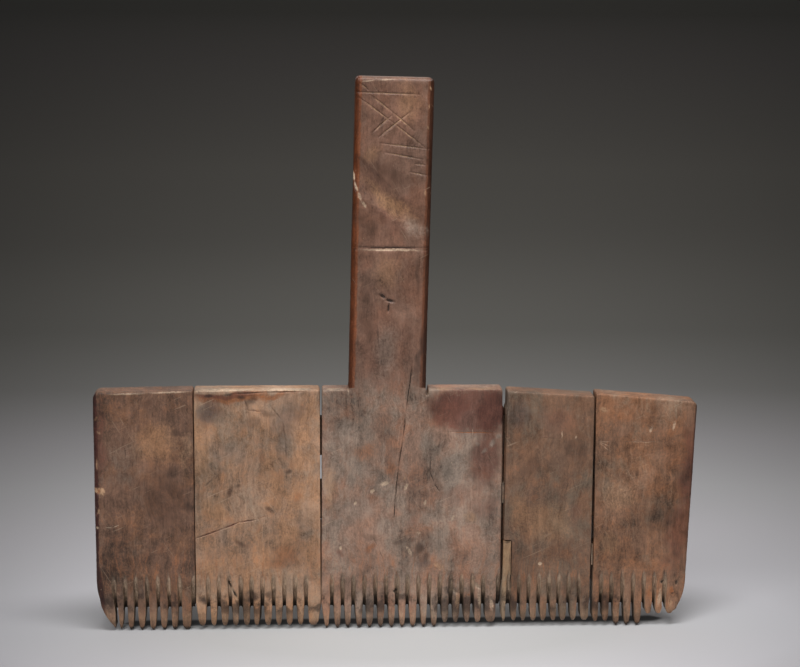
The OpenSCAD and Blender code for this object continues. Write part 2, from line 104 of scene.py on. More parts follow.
# Patches of less than these half widths, in millimetres, get a calm border and an even one
CALM_MARK = 2.0
EVEN_MARK = 0.9

# Depths between which the marks of the front fade in, in millimetres
FRONT_FADE = (-1.0, -3.0)

# A mark is sunk as far out as this, where 1 is its rim
SUNK_REACH = 1.15

# Marks of less than this half width, in millimetres, get a finer mesh around them: they are
# grown by a margin, and faces are split as far out as the reach says, where 1 is the grown rim
NARROW_MARK = 1.0
FINER_MARGIN = 0.8
FINER_REACH = 1.05


def screen(red: float, green: float, blue: float) -> Colour:
    """Turns a screen colour into the linear one that a shader takes.

    Args:
        red: Red from 0 to 255.
        green: Green from 0 to 255.
        blue: Blue from 0 to 255.

    Returns:
        The colour in linear light, with full alpha.
    """
    def linear(part: float) -> float:
        """One channel in linear light."""
        part /= 255
        return part / 12.92 if part <= 0.04045 else ((part + 0.055) / 1.055) ** 2.4

    return (linear(red), linear(green), linear(blue), 1.0)


class Tone(Enum):
    """The colours laid over the wood: those of marks, then those of cut, worn and polished wood, and the
    handle's painted highlight lines and its polished edges painted lighter and darker.
    """

    BLACK = (24, 18, 15)
    DARK = (50, 36, 30)
    UMBER = (78, 54, 42)
    WINE = (92, 54, 44)
    PLUM = (62, 34, 29)
    RED = (112, 72, 58)
    RUST = (142, 88, 54)
    OCHRE = (146, 110, 80)
    TAN = (168, 134, 104)
    PALE = (196, 170, 144)
    GREY = (132, 118, 106)
    SLATE = (96, 82, 76)
    CUT_DARK = (140, 120, 102)
    CUT_PALE = (178, 156, 134)
    WORN = (156, 128, 100)
    POLISHED = (106, 73, 58)
    # Painted highlight lines along the handle's edges, brighter on the left
    HIGHLIGHT_RIM_LEFT = (124, 68, 36)
    HIGHLIGHT_RIM_RIGHT = (96, 56, 36)
    # The handle's polished edges, painted lighter on the left and darker on the right as light and shade
    POLISHED_EDGE_LIT = (92, 46, 20)
    POLISHED_EDGE_SHADED = (62, 34, 20)

    @property
    def colour(self) -> Colour:
        """The tone as a shader's colour."""
        return screen(*self.value)


class Way(Enum):
    """The ways in which a surface moves, by the names that modifiers use."""

    OUT = "NORMAL"
    ALONG_ROW = "X"
    BACK = "Y"


class Side(Enum):
    """The two sides along the row, by the sign of X."""

    LEFT = -1
    RIGHT = 1


# Meshes


def hold(*pieces: bpy.types.Object) -> None:
    """Selects these objects alone and makes the first one active.

    Args:
        pieces: The objects.
    """
    bpy.ops.object.select_all(action="DESELECT")
    for piece in pieces:
        piece.select_set(True)
    bpy.context.view_layer.objects.active = pieces[0]


def rows(items: bpy.types.bpy_prop_collection, name: str) -> np.ndarray:
    """Reads one value of three parts from every point or face of a mesh.

    Args:
        items: The points or faces.
        name: Name of the value.

    Returns:
        The values, one row each.
    """
    values = np.empty(len(items) * 3, dtype=np.float32)
    items.foreach_get(name, values)
    return values.reshape(-1, 3)


def points_of(piece: bpy.types.Object) -> np.ndarray:
    """Gives a mesh's points in millimetres, one row each."""
    return rows(piece.data.vertices, "co") / MM


def inward(places: np.ndarray) -> np.ndarray:
    """Gives each point's distance from the nearer side edge of its piece."""
    across = places[:, 0]
    return np.minimum(across - across.min(), across.max() - across)


def climb(values: np.ndarray, start: float, end: float) -> np.ndarray:
    """Gives numbers that go evenly from 0 to 1 between two values, which may fall."""
    return np.clip((values - start) / (end - start), 0, 1)


# Shader maths


class Signal:
    """A node's output socket, with Python's operators for numbers that vary over a surface."""

    def __init__(self, sheet: "NodeSheet", socket: bpy.types.NodeSocket) -> None:
        """Wraps a socket of a sheet."""
        self.sheet = sheet
        self.socket = socket

    def __add__(self, other: "Signal | float") -> "Signal":
        """Adds."""
        return self.sheet.math("ADD", self, other)

    __radd__ = __add__

    def __sub__(self, other: "Signal | float") -> "Signal":
        """Subtracts."""
        return self.sheet.math("SUBTRACT", self, other)

    def __rsub__(self, other: "Signal | float") -> "Signal":
        """Subtracts from a number."""
        return self.sheet.math("SUBTRACT", other, self)

    def __mul__(self, other: "Signal | float") -> "Signal":
        """Multiplies."""
        return self.sheet.math("MULTIPLY", self, other)

    __rmul__ = __mul__

    def __truediv__(self, other: "Signal | float") -> "Signal":
        """Divides."""
        return self.sheet.math("DIVIDE", self, other)

    def __abs__(self) -> "Signal":
        """Drops the sign."""
        return self.sheet.math("ABSOLUTE", self)

    def rise(self, start: float, end: float, top: float = 1.0) -> "Signal":
        """Gives a mask that goes smoothly from 0 to its top between two values, which may fall.

        Args:
            start: Value at which the mask is 0.
            end: Value at which the mask is full.
            top: How strong the full mask is.

        Returns:
            The mask.
        """
        sockets = {"Value": self, "From Min": start, "From Max": end, "To Min": 0.0, "To Max": top}
        return self.sheet.node("ShaderNodeMapRange", {"interpolation_type": "SMOOTHSTEP"}, sockets)

    def most(self, other: "Signal | float") -> "Signal":
        """Gives the greater of two values."""
        return self.sheet.math("MAXIMUM", self, other)

    def least(self, other: "Signal | float") -> "Signal":
        """Gives the smaller of two values."""
        return self.sheet.math("MINIMUM", self, other)


class NodeSheet:
    """A material's nodes, added one expression at a time."""

    def __init__(self, name: str) -> None:
        """Starts an empty material.

        Args:
            name: Name of the material.
        """
        self.material = bpy.data.materials.new(name)
        self.material.use_nodes = True
        self.tree = self.material.node_tree
        self.tree.nodes.clear()

    def node(self, kind: str, settings: dict, sockets: dict, output: int | str = 0) -> Signal:
        """Adds any node.

        Args:
            kind: Type name of the node.
            settings: Its own properties, set first; "stops" gives a ramp's places and colours.
            sockets: Values, tones or signals for its inputs, by name or place.
            output: The output that is wanted, by name or place.

        Returns:
            That output.
        """
        made = self.tree.nodes.new(kind)
        for name, value in settings.items():
            if name == "stops":
                self.set_stops(made.color_ramp, value)
            else:
                setattr(made, name, value)
        for key, value in sockets.items():
            if isinstance(value, Signal):
                self.tree.links.new(value.socket, made.inputs[key])
            else:
                made.inputs[key].default_value = value.colour if isinstance(value, Tone) else value
        return Signal(self, made.outputs[output])

    def set_stops(self, ramp: bpy.types.ColorRamp, stops: list[tuple[float, Colour]]) -> None:
        """Fills a colour ramp.

        Args:
            ramp: The ramp.
            stops: Its places, from 0 to 1, and their colours.
        """
        while len(ramp.elements) < len(stops):
            ramp.elements.new(1.0)
        for element, (place, colour) in zip(ramp.elements, stops):
            element.position = place
            element.color = colour

    def math(self, operation: str, first: Signal | float, second: Signal | float = 0.0) -> Signal:
        """Adds a Math node."""
        return self.node("ShaderNodeMath", {"operation": operation}, {0: first, 1: second})

    def vector(self, operation: str, first: object, second: object, output: int | str = 0) -> Signal:
        """Adds a Vector Math node on two vectors."""
        return self.node("ShaderNodeVectorMath", {"operation": operation}, {0: first, 1: second}, output)

    def scaled(self, vector: Signal, factor: Signal | float) -> Signal:
        """Multiplies a vector or a colour by one number."""
        return self.node("ShaderNodeVectorMath", {"operation": "SCALE"}, {0: vector, "Scale": factor})

    def mix(self, mask: Signal | float, under: object, over: object) -> Signal:
        """Lays one colour over another.

        Args:
            mask: How much of the upper colour shows.
            under: The lower colour, tone or signal.
            over: The upper colour, tone or signal.

        Returns:
            The mixed colour.
        """
        settings = {"data_type": "RGBA", "clamp_factor": True}
        return self.node("ShaderNodeMix", settings, {0: mask, 6: under, 7: over}, 2)

    def noise(self, place: Signal, scale: float, detail: float, rough: float, output: str = "Fac") -> Signal:
        """Adds a noise that is mostly between 0.25 and 0.75.

        Args:
            place: Where the noise is read.
            scale: Features per unit of place.
            detail: Number of finer octaves.
            rough: Strength of each finer octave.
            output: "Fac" for a number or "Color" for three.

        Returns:
            The noise.
        """
        sockets = {"Vector": place, "Scale": scale, "Detail": detail, "Roughness": rough}
        return self.node("ShaderNodeTexNoise", {"noise_dimensions": "3D"}, sockets, output)

    def oval(self, place: Signal, middle: Point, radii: Point, turn: float) -> Signal:
        """Gives a number that falls from 1 in the middle of an oval to 0 at its rim.

        Args:
            place: The place, as X, height and a part that hardly counts, in millimetres.
            middle: Middle of the oval.
            radii: Its radius along and across its own axis.
            turn: Turn of that axis, in degrees.

        Returns:
            The number, which is 0 outside.
        """
        inside = self.node("ShaderNodeTexGradient", {"gradient_type": "SPHERICAL"}, {"Vector": place}, "Fac")
        mapping = inside.socket.node.texture_mapping
        mapping.vector_type = "TEXTURE"
        mapping.translation = (*middle, 0)
        mapping.rotation = (0, 0, math.radians(turn))
        mapping.scale = (*radii, 1000.0)
        return inside

    def stretched(self, place: Signal, scales: Triple, turn: Triple, shift: Triple) -> Signal:
        """Turns, scales and shifts a pattern's place.

        Args:
            place: The place, in millimetres.
            scales: Scale along each axis after the turn.
            turn: Turn about each axis, in degrees.
            shift: What is added after the scaling.

        Returns:
            The new place.
        """
        kind = "ShaderNodeMapping"
        rotation = tuple(math.radians(t) for t in turn)
        turned = self.node(kind, {"vector_type": "POINT"}, {"Vector": place, "Rotation": rotation})
        sockets = {"Vector": turned, "Scale": scales, "Location": shift}
        return self.node(kind, {"vector_type": "POINT"}, sockets)

    def wave(
        self, place: Signal, scales: Triple, shift: float = 0.0, detail: float = 4.0, rough: float = 0.6
    ) -> Signal:
        """Gives a stretched noise that swings about zero, mostly within 1.

        Args:
            place: Where the noise is read, in millimetres.
            scales: Features per millimetre along each axis.
            shift: Moves the pattern, so that two waves differ.
            detail: Number of finer octaves.
            rough: Strength of each finer octave.

        Returns:
            The wave.
        """
        moved = self.stretched(place, scales, (0, 0, 0), (shift, 0.7 * shift, 1.3 * shift))
        return (self.noise(moved, 1.0, detail, rough) - 0.5) * WAVE_GAIN

    def finish(
        self, colour: Signal, rough: Signal | float, normal: Signal | None, fixed: dict[str, float]
    ) -> bpy.types.Material:
        """Closes the sheet with its surface shader.

        Args:
            colour: Base colour.
            rough: Roughness.
            normal: Normal, or None.
            fixed: Values of sockets that are the same all over.

        Returns:
            The finished material.
        """
        sockets = {"Base Color": colour, "Roughness": rough, **fixed}
        if normal is not None:
            sockets["Normal"] = normal
        surface = self.node("ShaderNodeBsdfPrincipled", {}, sockets)
        out = self.tree.nodes.new("ShaderNodeOutputMaterial")
        self.tree.links.new(surface.socket, out.inputs["Surface"])
        return self.material


# Marks on the wood


@dataclass(frozen=True)
class Spot:
    """An oval patch on the front, in millimetres.

    Attributes:
        x: Place along the row.
        z: Height.
        half_w: Half of its length along its own axis.
        half_h: Half of its width.
        tone: Colour of the patch.
        strength: How much of that colour shows.
        turn: Turn of its axis above level, in degrees.
        soft: Share of the patch over which it fades.
        depth: How deep the wood is cut or worn there.
    """

    x: float
    z: float
    half_w: float
    half_h: float
    tone: Tone
    strength: float
    turn: float = 0.0
    soft: float = 0.8
    depth: float = 0.0

    def reach(self, places: np.ndarray) -> np.ndarray:
        """Gives each point's distance from the middle, where 1 is the rim.

        Args:
            places: Points in millimetres.

        Returns:
            One number for each point.
        """
        turn = math.radians(self.turn)
        right, up = places[:, 0] - self.x, places[:, 2] - self.z
        along = (right * math.cos(turn) + up * math.sin(turn)) / self.half_w
        across = (up * math.cos(turn) - right * math.sin(turn)) / self.half_h
        return np.hypot(along, across)


@dataclass(frozen=True)
class Line:
    """A crack, scratch or incised stroke that runs through some points, in millimetres.

    Attributes:
        OVERLAP: Half of a stretch's length as a share of the way between its points, in a line that bends.
        SOFT: Share of its width over which it fades.
        path: Its points, as places along the row and heights.
        width: Full width.
        tone: Colour.
        strength: How much of that colour shows.
        depth: How deep it is.
    """

    OVERLAP: ClassVar[float] = 0.56
    SOFT: ClassVar[float] = 0.7

    path: tuple[Point, ...]
    width: float
    tone: Tone
    strength: float
    depth: float

    def spots(self) -> list[Spot]:
        """Turns the line into patches.

        Returns:
            One long narrow patch for each stretch of the line.
        """
        made = []
        overlap = self.OVERLAP if len(self.path) > 2 else 0.5
        for (x1, z1), (x2, z2) in zip(self.path, self.path[1:]):
            length = math.hypot(x2 - x1, z2 - z1)
            turn = math.degrees(math.atan2(z2 - z1, x2 - x1))
            middle = ((x1 + x2) / 2, (z1 + z2) / 2)
            size = (overlap * length, self.width / 2)
            made.append(Spot(*middle, *size, self.tone, self.strength, turn, self.SOFT, self.depth))
        return made


@dataclass(frozen=True)
class Gouge:
    """A bite out of the solid, cut with a ball stretched along its own axes, in millimetres.

    Attributes:
        place: Its middle, as X, Y and Z.
        radii: Its radius along each axis.
        turn: Its turn above level, seen from the front, in degrees.
    """

    place: Triple
    radii: Triple
    turn: float = 0.0


@dataclass(frozen=True)
class Swell:
    """An upright joint edge that bulges and so meets the next board, in millimetres.

    Attributes:
        low: Where the edge is along the row, at the height of the tips.
        high: Where it is at the top of the row.
        side: Which way it bulges.
        out: How far it bulges at the height of the tips and at the top of the row.
        top: Height that it reaches.
        deep: Half of the depth over which it bulges.
        NEAR: How far from the edge the bulge reaches along the row.
        FOOT: Heights between which it grows to full above the tips.
        HEAD: How far below its top it starts to fade.
    """

    NEAR: ClassVar[float] = 1.6
    FOOT: ClassVar[Point] = (3, 6)
    HEAD: ClassVar[float] = 2

    low: float
    high: float
    side: Side
    out: Point
    top: float = 130.0
    deep: float = 9.0

    def push(self, places: np.ndarray) -> np.ndarray:
        """Gives how far each point moves.

        Args:
            places: Points in millimetres.

        Returns:
            One length for each point, in millimetres.
        """
        height = places[:, 2]
        rise = climb(height, 0, ROW_TOP)
        edge = self.low + (self.high - self.low) * rise
        near = np.clip(1.0 - np.abs(places[:, 0] - edge) / self.NEAR, 0, 1)
        inside = np.clip(1.0 - (np.abs(places[:, 1]) / self.deep) ** 4, 0, 1)
        reached = climb(height, self.top, self.top - self.HEAD) * climb(height, *self.FOOT)
        return near * inside * reached * (self.out[0] + (self.out[1] - self.out[0]) * rise)


# Finishes


@dataclass(frozen=True)
class WoodFinish:
    """Old worked wood whose grain runs upward.

    Attributes:
        name: Name of the material.
        base: Main colour.
        warm: Colour of the redder and browner areas.
        cool: Colour of the greyer, dustier areas.
        dark: Colour of the deeper stains.
        warmth: How much of the surface is warm, from 0 to 1.
        dust: How much of the surface is cool, from 0 to 1.
        stain: How strong the deeper stains are.
        contrast: How strongly the grain and the mottling lighten and darken it.
        flank: How much lighter than usual the cut flanks of the grooves are.
        seed: Shift of the patterns, so that no two boards are alike.
        toothed: Whether grooves and tips get their own colours.
        handle: Whether the piece carries the handle, with its polished edges, their painted highlight lines
            and the painted shade on the right one.
    """

    name: str
    base: tuple[int, int, int]
    warm: tuple[int, int, int]
    cool: tuple[int, int, int]
    dark: tuple[int, int, int]
    warmth: float = 0.5
    dust: float = 0.5
    stain: float = 0.35
    contrast: float = 1.0
    flank: float = 1.0
    seed: float = 0.0
    toothed: bool = True
    handle: bool = False

    def material(self, spots: list[Spot]) -> bpy.types.Material:
        """Makes the material.

        Args:
            spots: Patches, lines among them, that this piece has on its front.

        Returns:
            The material.
        """
        return WoodPainter(self).paint(spots)


class WoodPainter:
    """Builds the nodes of one wood finish, layer over layer."""

    def __init__(self, finish: WoodFinish) -> None:
        """Reads the surface's places and the waves that every layer shares.

        Args:
            finish: The finish to build.
        """
        self.finish = finish
        self.colour: object = screen(*finish.base)
        self.sheet = sheet = NodeSheet(finish.name)
        coordinates = sheet.node("ShaderNodeTexCoord", {}, {}, "Object")
        self.place = sheet.scaled(coordinates, 1 / MM)
        axes = [sheet.node("ShaderNodeSeparateXYZ", {}, {0: self.place}, axis) for axis in range(3)]
        self.x, self.y, self.z = axes
        seeded = sheet.stretched(self.place, (1, 1, 1), (0, 0, 0), (finish.seed, 0, 2 * finish.seed))
        self.wood = sheet.vector("ADD", seeded, self.wander(seeded, 0.04, 10.0, 3))
        level = sheet.node("ShaderNodeCombineXYZ", {}, {0: self.x, 1: self.z, 2: 0.0})
        self.fine_level = sheet.vector("ADD", level, self.wander(seeded, 0.5, 1.1, 3))
        self.rough_level = sheet.vector("ADD", self.fine_level, self.wander(seeded, 0.1, 9.0, 1))
        self.fibre = sheet.wave(self.wood, (2.2, 1.2, 0.06), 3)
        self.strand = sheet.wave(self.wood, (0.5, 0.4, 0.014), 11)
        self.grit = sheet.wave(self.wood, (1.1, 1.1, 0.8), 17, 5, 0.75)
        self.mottle = sheet.wave(self.wood, (0.16, 0.16, 0.13), 23, 6, 0.66)
        self.broad = sheet.wave(self.wood, (0.042, 0.042, 0.034), 31, 4, 0.55)

    def wander(self, place: Signal, scale: float, far: float, detail: float) -> Signal:
        """Gives a vector that pushes a pattern about.

        Args:
            place: Where the push is read.
            scale: Features per millimetre.
            far: How far it pushes, in millimetres.
            detail: Number of finer octaves.

        Returns:
            The push.
        """
        colours = self.sheet.noise(place, scale, detail, 0.55, "Color")
        return self.sheet.scaled(self.sheet.vector("SUBTRACT", colours, (0.5, 0.5, 0.5)), far)

    def lay(self, mask: Signal, over: object) -> None:
        """Lays a tone, a colour or a signal over the wood where the mask shows it."""
        self.colour = self.sheet.mix(mask, self.colour, over)

    def paint(self, spots: list[Spot]) -> bpy.types.Material:
        """Builds the whole material.

        Args:
            spots: Patches on the front, lines among them.

        Returns:
            The material.
        """
        self.patches()
        if self.finish.toothed:
            self.grooves()
        if self.finish.handle:
            self.handle_edges()
        self.marks(spots)
        self.grain()
        self.pores()
        self.scratches()
        self.flecks()
        rough = WOOD_ROUGHNESS + self.grit * 0.05 + self.mottle * 0.06
        if self.finish.handle:
            rough = rough - self.z.rise(ROW_TOP - 5.0, ROW_TOP + 60.0) * 0.12
        height = self.fibre * 0.5 + self.grit * 0.6 + self.strand * 0.5
        normal = self.sheet.node("ShaderNodeBump", {}, {"Height": height, **WOOD_BUMP})
        return self.sheet.finish(self.colour, rough, normal, WOOD_SHEEN)

    def patches(self) -> None:
        """Lays warm, dusty, stained and ruddy areas over the base colour."""
        sheet, finish = self.sheet, self.finish
        cloud = sheet.wave(self.wood, (0.07, 0.07, 0.05), 41, 6, 0.7)
        haze = sheet.wave(self.wood, (0.055, 0.055, 0.04), 53, 6, 0.7)
        stain = sheet.wave(self.wood, (0.12, 0.12, 0.07), 67, 5, 0.7)
        warm = (cloud + self.grit * 0.25 + (finish.warmth - 0.5) * 2).rise(-0.7, 0.9)
        self.lay(warm * 0.9, screen(*finish.warm))
        cool = (haze + self.grit * 0.3 + self.strand * 0.2 + (finish.dust - 0.5) * 2).rise(-0.2, 1.1)
        self.lay(cool * 0.8, screen(*finish.cool))
        deep = (stain + self.mottle * 0.4 + self.fibre * 0.15).rise(0.45, 1.5)
        self.lay(deep * finish.stain, screen(*finish.dark))
        ruddy = (self.mottle - self.broad * 0.4 + self.grit * 0.5).rise(0.35, 1.2)
        self.lay(ruddy * finish.warmth * 0.4, Tone.RUST)

    def grooves(self) -> None:
        """Colours the cut flanks and the roots of the grooves, the teeth between them and the tips, with
        painted shade deep in the grooves and tips darkened partly by dirt and partly by a painted contact
        shadow.
        """
        sheet, z = self.sheet, self.z
        low = z.rise(GROOVE_TOP + 1.0, GROOVE_TOP - 2.0)
        face = TIP_HALF + (FULL_HALF - TIP_HALF) * z.rise(0.0, FULL_HEIGHT)
        behind = face - abs(self.y)
        streak = sheet.wave(self.place, (1.3, 0.5, 0.1), 5)
        raw = sheet.mix(streak.rise(-0.8, 0.8), Tone.CUT_DARK, Tone.CUT_PALE)
        raw = sheet.scaled(raw, self.finish.flank)
        self.lay(behind.rise(0.3, 1.3) * low * 0.85, raw)
        # Painted shade deep in the grooves, where little light reaches
        shade = (behind + streak * 0.4).rise(3.0, 5.6) * z.rise(20.0, 12.0)
        self.lay(shade * 0.95, Tone.BLACK)
        roots = (self.fibre * 0.7 + self.strand).rise(0.1, 1.2) * z.rise(48.0, 34.0)
        self.lay(roots * z.rise(18.0, 28.0) * 0.45, Tone.RUST)
        worn = (z + self.mottle * 2.0).rise(13.0, 6.0) * behind.rise(1.6, 0.4)
        self.lay(worn * 0.3, Tone.WORN)
        band = (z + self.mottle * 2.5).rise(19.0, 14.0) * (z + self.grit * 1.5).rise(7.0, 10.0)
        self.lay(band * (self.mottle + self.broad).rise(0.5, -0.6) * 0.65, Tone.DARK)
        # The tips darken: partly dirt, partly a painted contact shadow
        tip_dirt_and_shade = z + self.mottle * 0.6 + self.grit * 0.3
        self.lay(tip_dirt_and_shade.rise(8.0, 2.0, 0.6), Tone.UMBER)
        self.lay(tip_dirt_and_shade.rise(2.6, 1.0, 0.85), Tone.BLACK)

    def handle_edges(self) -> None:
        """Polishes the handle's long edges to a deep orange brown, painted darker on the right as shade, with
        a painted highlight line along the inner border of each.
        """
        half = HANDLE_W / 2
        middle = HANDLE_LEFT + half + (self.z - ROW_TOP) * math.tan(math.radians(HANDLE_LEAN))
        across = self.x - middle
        own = abs(across).rise(half + 1.0, half + 0.5)
        above = (self.z + self.mottle * 4.0).rise(ROW_TOP - 10.0, ROW_TOP + 12.0) * own
        self.lay(above * 0.75, Tone.POLISHED)
        out = (abs(across) + self.mottle * 0.3) * self.z.rise(ROW_TOP - 1.0, ROW_TOP + 1.0) * own
        # Painted highlight: an orange line along the inner border of each edge, brighter on the left
        glow = out.rise(half - 3.8, half - 2.8) * 0.8
        self.lay(glow, self.sheet.mix(across.rise(-2.0, 2.0), Tone.HIGHLIGHT_RIM_LEFT, Tone.HIGHLIGHT_RIM_RIGHT))
        # The edges' own deep colour, painted darker on the right as shade
        deep = self.sheet.mix(across.rise(-2.0, 2.0), Tone.POLISHED_EDGE_LIT, Tone.POLISHED_EDGE_SHADED)
        self.lay(out.rise(half - 2.6, half - 1.8), deep)

    def marks(self, spots: list[Spot]) -> None:
        """Lays patches and lines over the front, the small ones with calmer borders.

        Args:
            spots: The patches.
        """
        unmarked = self.colour
        ragged = self.grit * 0.5 + 1.0
        for spot in spots:
            width = min(spot.half_w, spot.half_h)
            level = self.fine_level if width < CALM_MARK else self.rough_level
            inside = self.sheet.oval(level, (spot.x, spot.z), (spot.half_w, spot.half_h), spot.turn)
            if width > EVEN_MARK:
                inside = inside * ragged
            self.lay(inside.rise(0.0, spot.soft, spot.strength), spot.tone)
        self.colour = self.sheet.mix(self.y.rise(*FRONT_FADE), unmarked, self.colour)

    def grain(self) -> None:
        """Lightens and darkens the wood along its grain and in clouds."""
        small = self.grit * 0.22 + self.fibre * 0.11 + self.strand * 0.12
        swing = (small + self.mottle * 0.23 + self.broad * 0.24) * self.finish.contrast
        self.colour = self.sheet.scaled(self.colour, (swing + 1.0).most(0.3))

    def pores(self) -> None:
        """Darkens short open pores that lie along the grain."""
        dashes = self.sheet.wave(self.wood, (2.6, 2.6, 0.35), 71, 2, 0.5)
        self.lay(dashes.rise(1.1, 1.8) * 0.25, Tone.DARK)

    def scratches(self) -> None:
        """Draws a few fine scratches, here and there, in several directions."""
        here = self.sheet.wave(self.wood, (0.05, 0.05, 0.05), 83, 2).rise(0.0, 0.8)
        for turn, tone, strength in ((24, Tone.PALE, 0.3), (-58, Tone.PALE, 0.22), (74, Tone.DARK, 0.35)):
            shift = (self.finish.seed, turn, 0)
            turned = self.sheet.stretched(self.place, (0.05, 0.4, 1.8), (0, turn, 0), shift)
            where = self.sheet.wave(turned, (1, 1, 1), 0, 1, 0.4)
            self.lay(where.rise(1.3, 1.8) * here * strength, tone)

    def flecks(self) -> None:
        """Scatters pale flecks of dust and small dark dents."""
        where = self.sheet.wave(self.place, (0.6, 0.6, 0.5), 97, 5, 0.7)
        self.lay(where.rise(1.15, 1.8) * 0.5, Tone.PALE)
        self.lay(where.rise(-1.3, -2.0) * 0.4, Tone.DARK)


# Pieces


@dataclass(frozen=True)
class Relief:
    """A stretched cloud pattern that moves a surface.

    Attributes:
        name: Name of this relief.
        grain: Size of the pattern along each axis, in millimetres.
        strength: How far the surface moves, in millimetres.
        way: Which way it moves.
        middle: Value of the pattern that doesn't move.
        group: Vertex group that limits it, or nothing.
    """

    name: str
    grain: Triple
    strength: float
    way: Way = Way.OUT
    middle: float = 0.85
    group: str = ""


@dataclass
class WornPiece:
    """A solid of the comb, given the worn surface of old wood.

    Attributes:
        node: The solid's name.
        slot: Name of the record's material slot; not used.
        finish: Its wood.
        spots: Patches on its front.
        lines: Cracks, scratches and strokes on its front.
        gouges: Bites out of it.
        swells: Joint edges that bulge.
        voxel: Size of the first even mesh, in millimetres.
        rounding: Number of smoothing passes over the arrises.
        dents: Depth of broad worn hollows, in millimetres.
        waver: Span over which the teeth wander sideways, in millimetres.
        fuller: How much wider the teeth are on each side, in millimetres.
        most: Most triangles in the finished mesh.
        piece: The object that is made.
    """

    node: str
    slot: str
    finish: WoodFinish
    spots: list[Spot] = field(default_factory=list)
    lines: list[Line] = field(default_factory=list)
    gouges: list[Gouge] = field(default_factory=list)
    swells: list[Swell] = field(default_factory=list)
    voxel: float = 0.45
    rounding: int = 14
    dents: float = 0.35
    waver: float = 1.3
    fuller: float = 0.7
    most: int = 190_000
    piece: bpy.types.Object = field(init=False)

    def build(self) -> None:
        """Makes the piece, dresses it and lets it stand for its solid."""
        self.copy_solid()
        self.bite()
        self.remesh()
        self.round_arrises()
        self.fill_teeth()
        self.swell()
        self.carve()
        self.weather()
        self.thin_out()
        self.dress()
        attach(self.piece, "root")
        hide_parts(self.node)
        log.info("%s: %d faces", self.piece.name, len(self.piece.data.polygons))

    def stretches(self) -> list[Spot]:
        """Gives the narrow patches that the lines are made of."""
        return [spot for line in self.lines for spot in line.spots()]

    def copy_solid(self) -> None:
        """Copies the solid's mesh and joins its loose triangles."""
        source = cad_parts[self.node]
        self.piece = bpy.data.objects.new(f"{self.node}_wood", source.data.copy())
        bpy.context.scene.collection.objects.link(self.piece)
        hold(self.piece)
        bpy.ops.object.mode_set(mode="EDIT")
        bpy.ops.mesh.select_all(action="SELECT")
        bpy.ops.mesh.remove_doubles(threshold=0.001 * MM)
        bpy.ops.object.mode_set(mode="OBJECT")
        self.piece.data.materials.clear()

    def modifier(self, name: str, kind: str, settings: dict) -> None:
        """Adds one modifier and applies it.

        Args:
            name: Name of the step.
            kind: Type of the modifier.
            settings: Its own properties.
        """
        made = self.piece.modifiers.new(name, kind)
        for key, value in settings.items():
            setattr(made, key, value)
        hold(self.piece)
        bpy.ops.object.modifier_apply(modifier=made.name)

    def weigh(self, name: str, weights: np.ndarray) -> None:
        """Keeps a weight for each point in a vertex group.

        Args:
            name: Name of the group.
            weights: One number from 0 to 1 for each point.
        """
        group = self.piece.vertex_groups.new(name=name)
        for index in np.flatnonzero(weights > LEAST_WEIGHT):
            group.add([int(index)], float(weights[index]), "REPLACE")

    def forget(self, name: str) -> None:
        """Removes a vertex group."""
        self.piece.vertex_groups.remove(self.piece.vertex_groups[name])

    def push(self, name: str, weights: np.ndarray, way: Way, far: float) -> None:
        """Moves every point along one axis by its own weight.

        Args:
            name: Name of the step.
            weights: One number from 0 to 1 for each point.
            way: Along the row or back.
            far: How far a point of full weight moves, in millimetres.
        """
        self.weigh(name, weights)
        settings = {"direction": way.value, "mid_level": 0.0, "strength": far * MM}
        self.modifier(name, "DISPLACE", {**settings, "vertex_group": name})
        self.forget(name)

    def bite(self) -> None:
        """Cuts the gouges out of the piece."""
        cutters = []
        for gouge in self.gouges:
            middle = Vector(gouge.place) * MM
            bpy.ops.mesh.primitive_ico_sphere_add(subdivisions=3, radius=MM, location=middle)
            cutter = bpy.context.object
            cutter.scale = gouge.radii
            cutter.rotation_euler = (0, math.radians(-gouge.turn), 0)
            cutters.append(cutter)
        if not cutters:
            return
        hold(*cutters)
        if len(cutters) > 1:
            bpy.ops.object.join()
        tool = bpy.context.object
        settings = {"operation": "DIFFERENCE", "solver": "EXACT", "use_self": True, "object": tool}
        self.modifier("bite", "BOOLEAN", settings)
        bpy.data.objects.remove(tool)

    def remesh(self) -> None:
        """Gives the piece an even mesh that can take fine relief."""
        size = self.voxel * MM * 1.0
        self.modifier("even", "REMESH", {"mode": "VOXEL", "voxel_size": size, "use_smooth_shade": True})

    def round_arrises(self) -> None:
        """Wears the arrises round, most of all along the top and then on the teeth, but not the tips."""
        if self.rounding < 1:
            return
        height = points_of(self.piece)[:, 2]
        teeth = TEETH_SHARE * climb(height, *TEETH_ROUNDED)
        worn = np.maximum(np.maximum(teeth, climb(height, *TOP_ROUNDED)), LEAST_SHARE)
        self.weigh("worn", worn * climb(height, *TIPS_LEFT_SHARP))
        passes = max(1, self.rounding // (1))
        self.modifier("soft", "SMOOTH", {"factor": 0.5, "iterations": passes, "vertex_group": "worn"})
        self.forget("worn")

    def fill_teeth(self) -> None:
        """Makes the lower ends of the teeth fuller, so that only narrow gaps stay between them."""
        if self.fuller <= 0:
            return
        places = points_of(self.piece)
        height = places[:, 2]
        sideways = rows(self.piece.data.vertices, "normal")[:, 0]
        low = climb(height, *TEETH_FULLER) * np.sqrt(climb(height, *TIPS_TAPER))
        low *= climb(inward(places), *SIDES_FULLER)
        for side in Side:
            facing = np.clip(FACING_GAIN * side.value * sideways, 0, 1)
            self.push("fuller", low * facing, Way.ALONG_ROW, side.value * self.fuller)

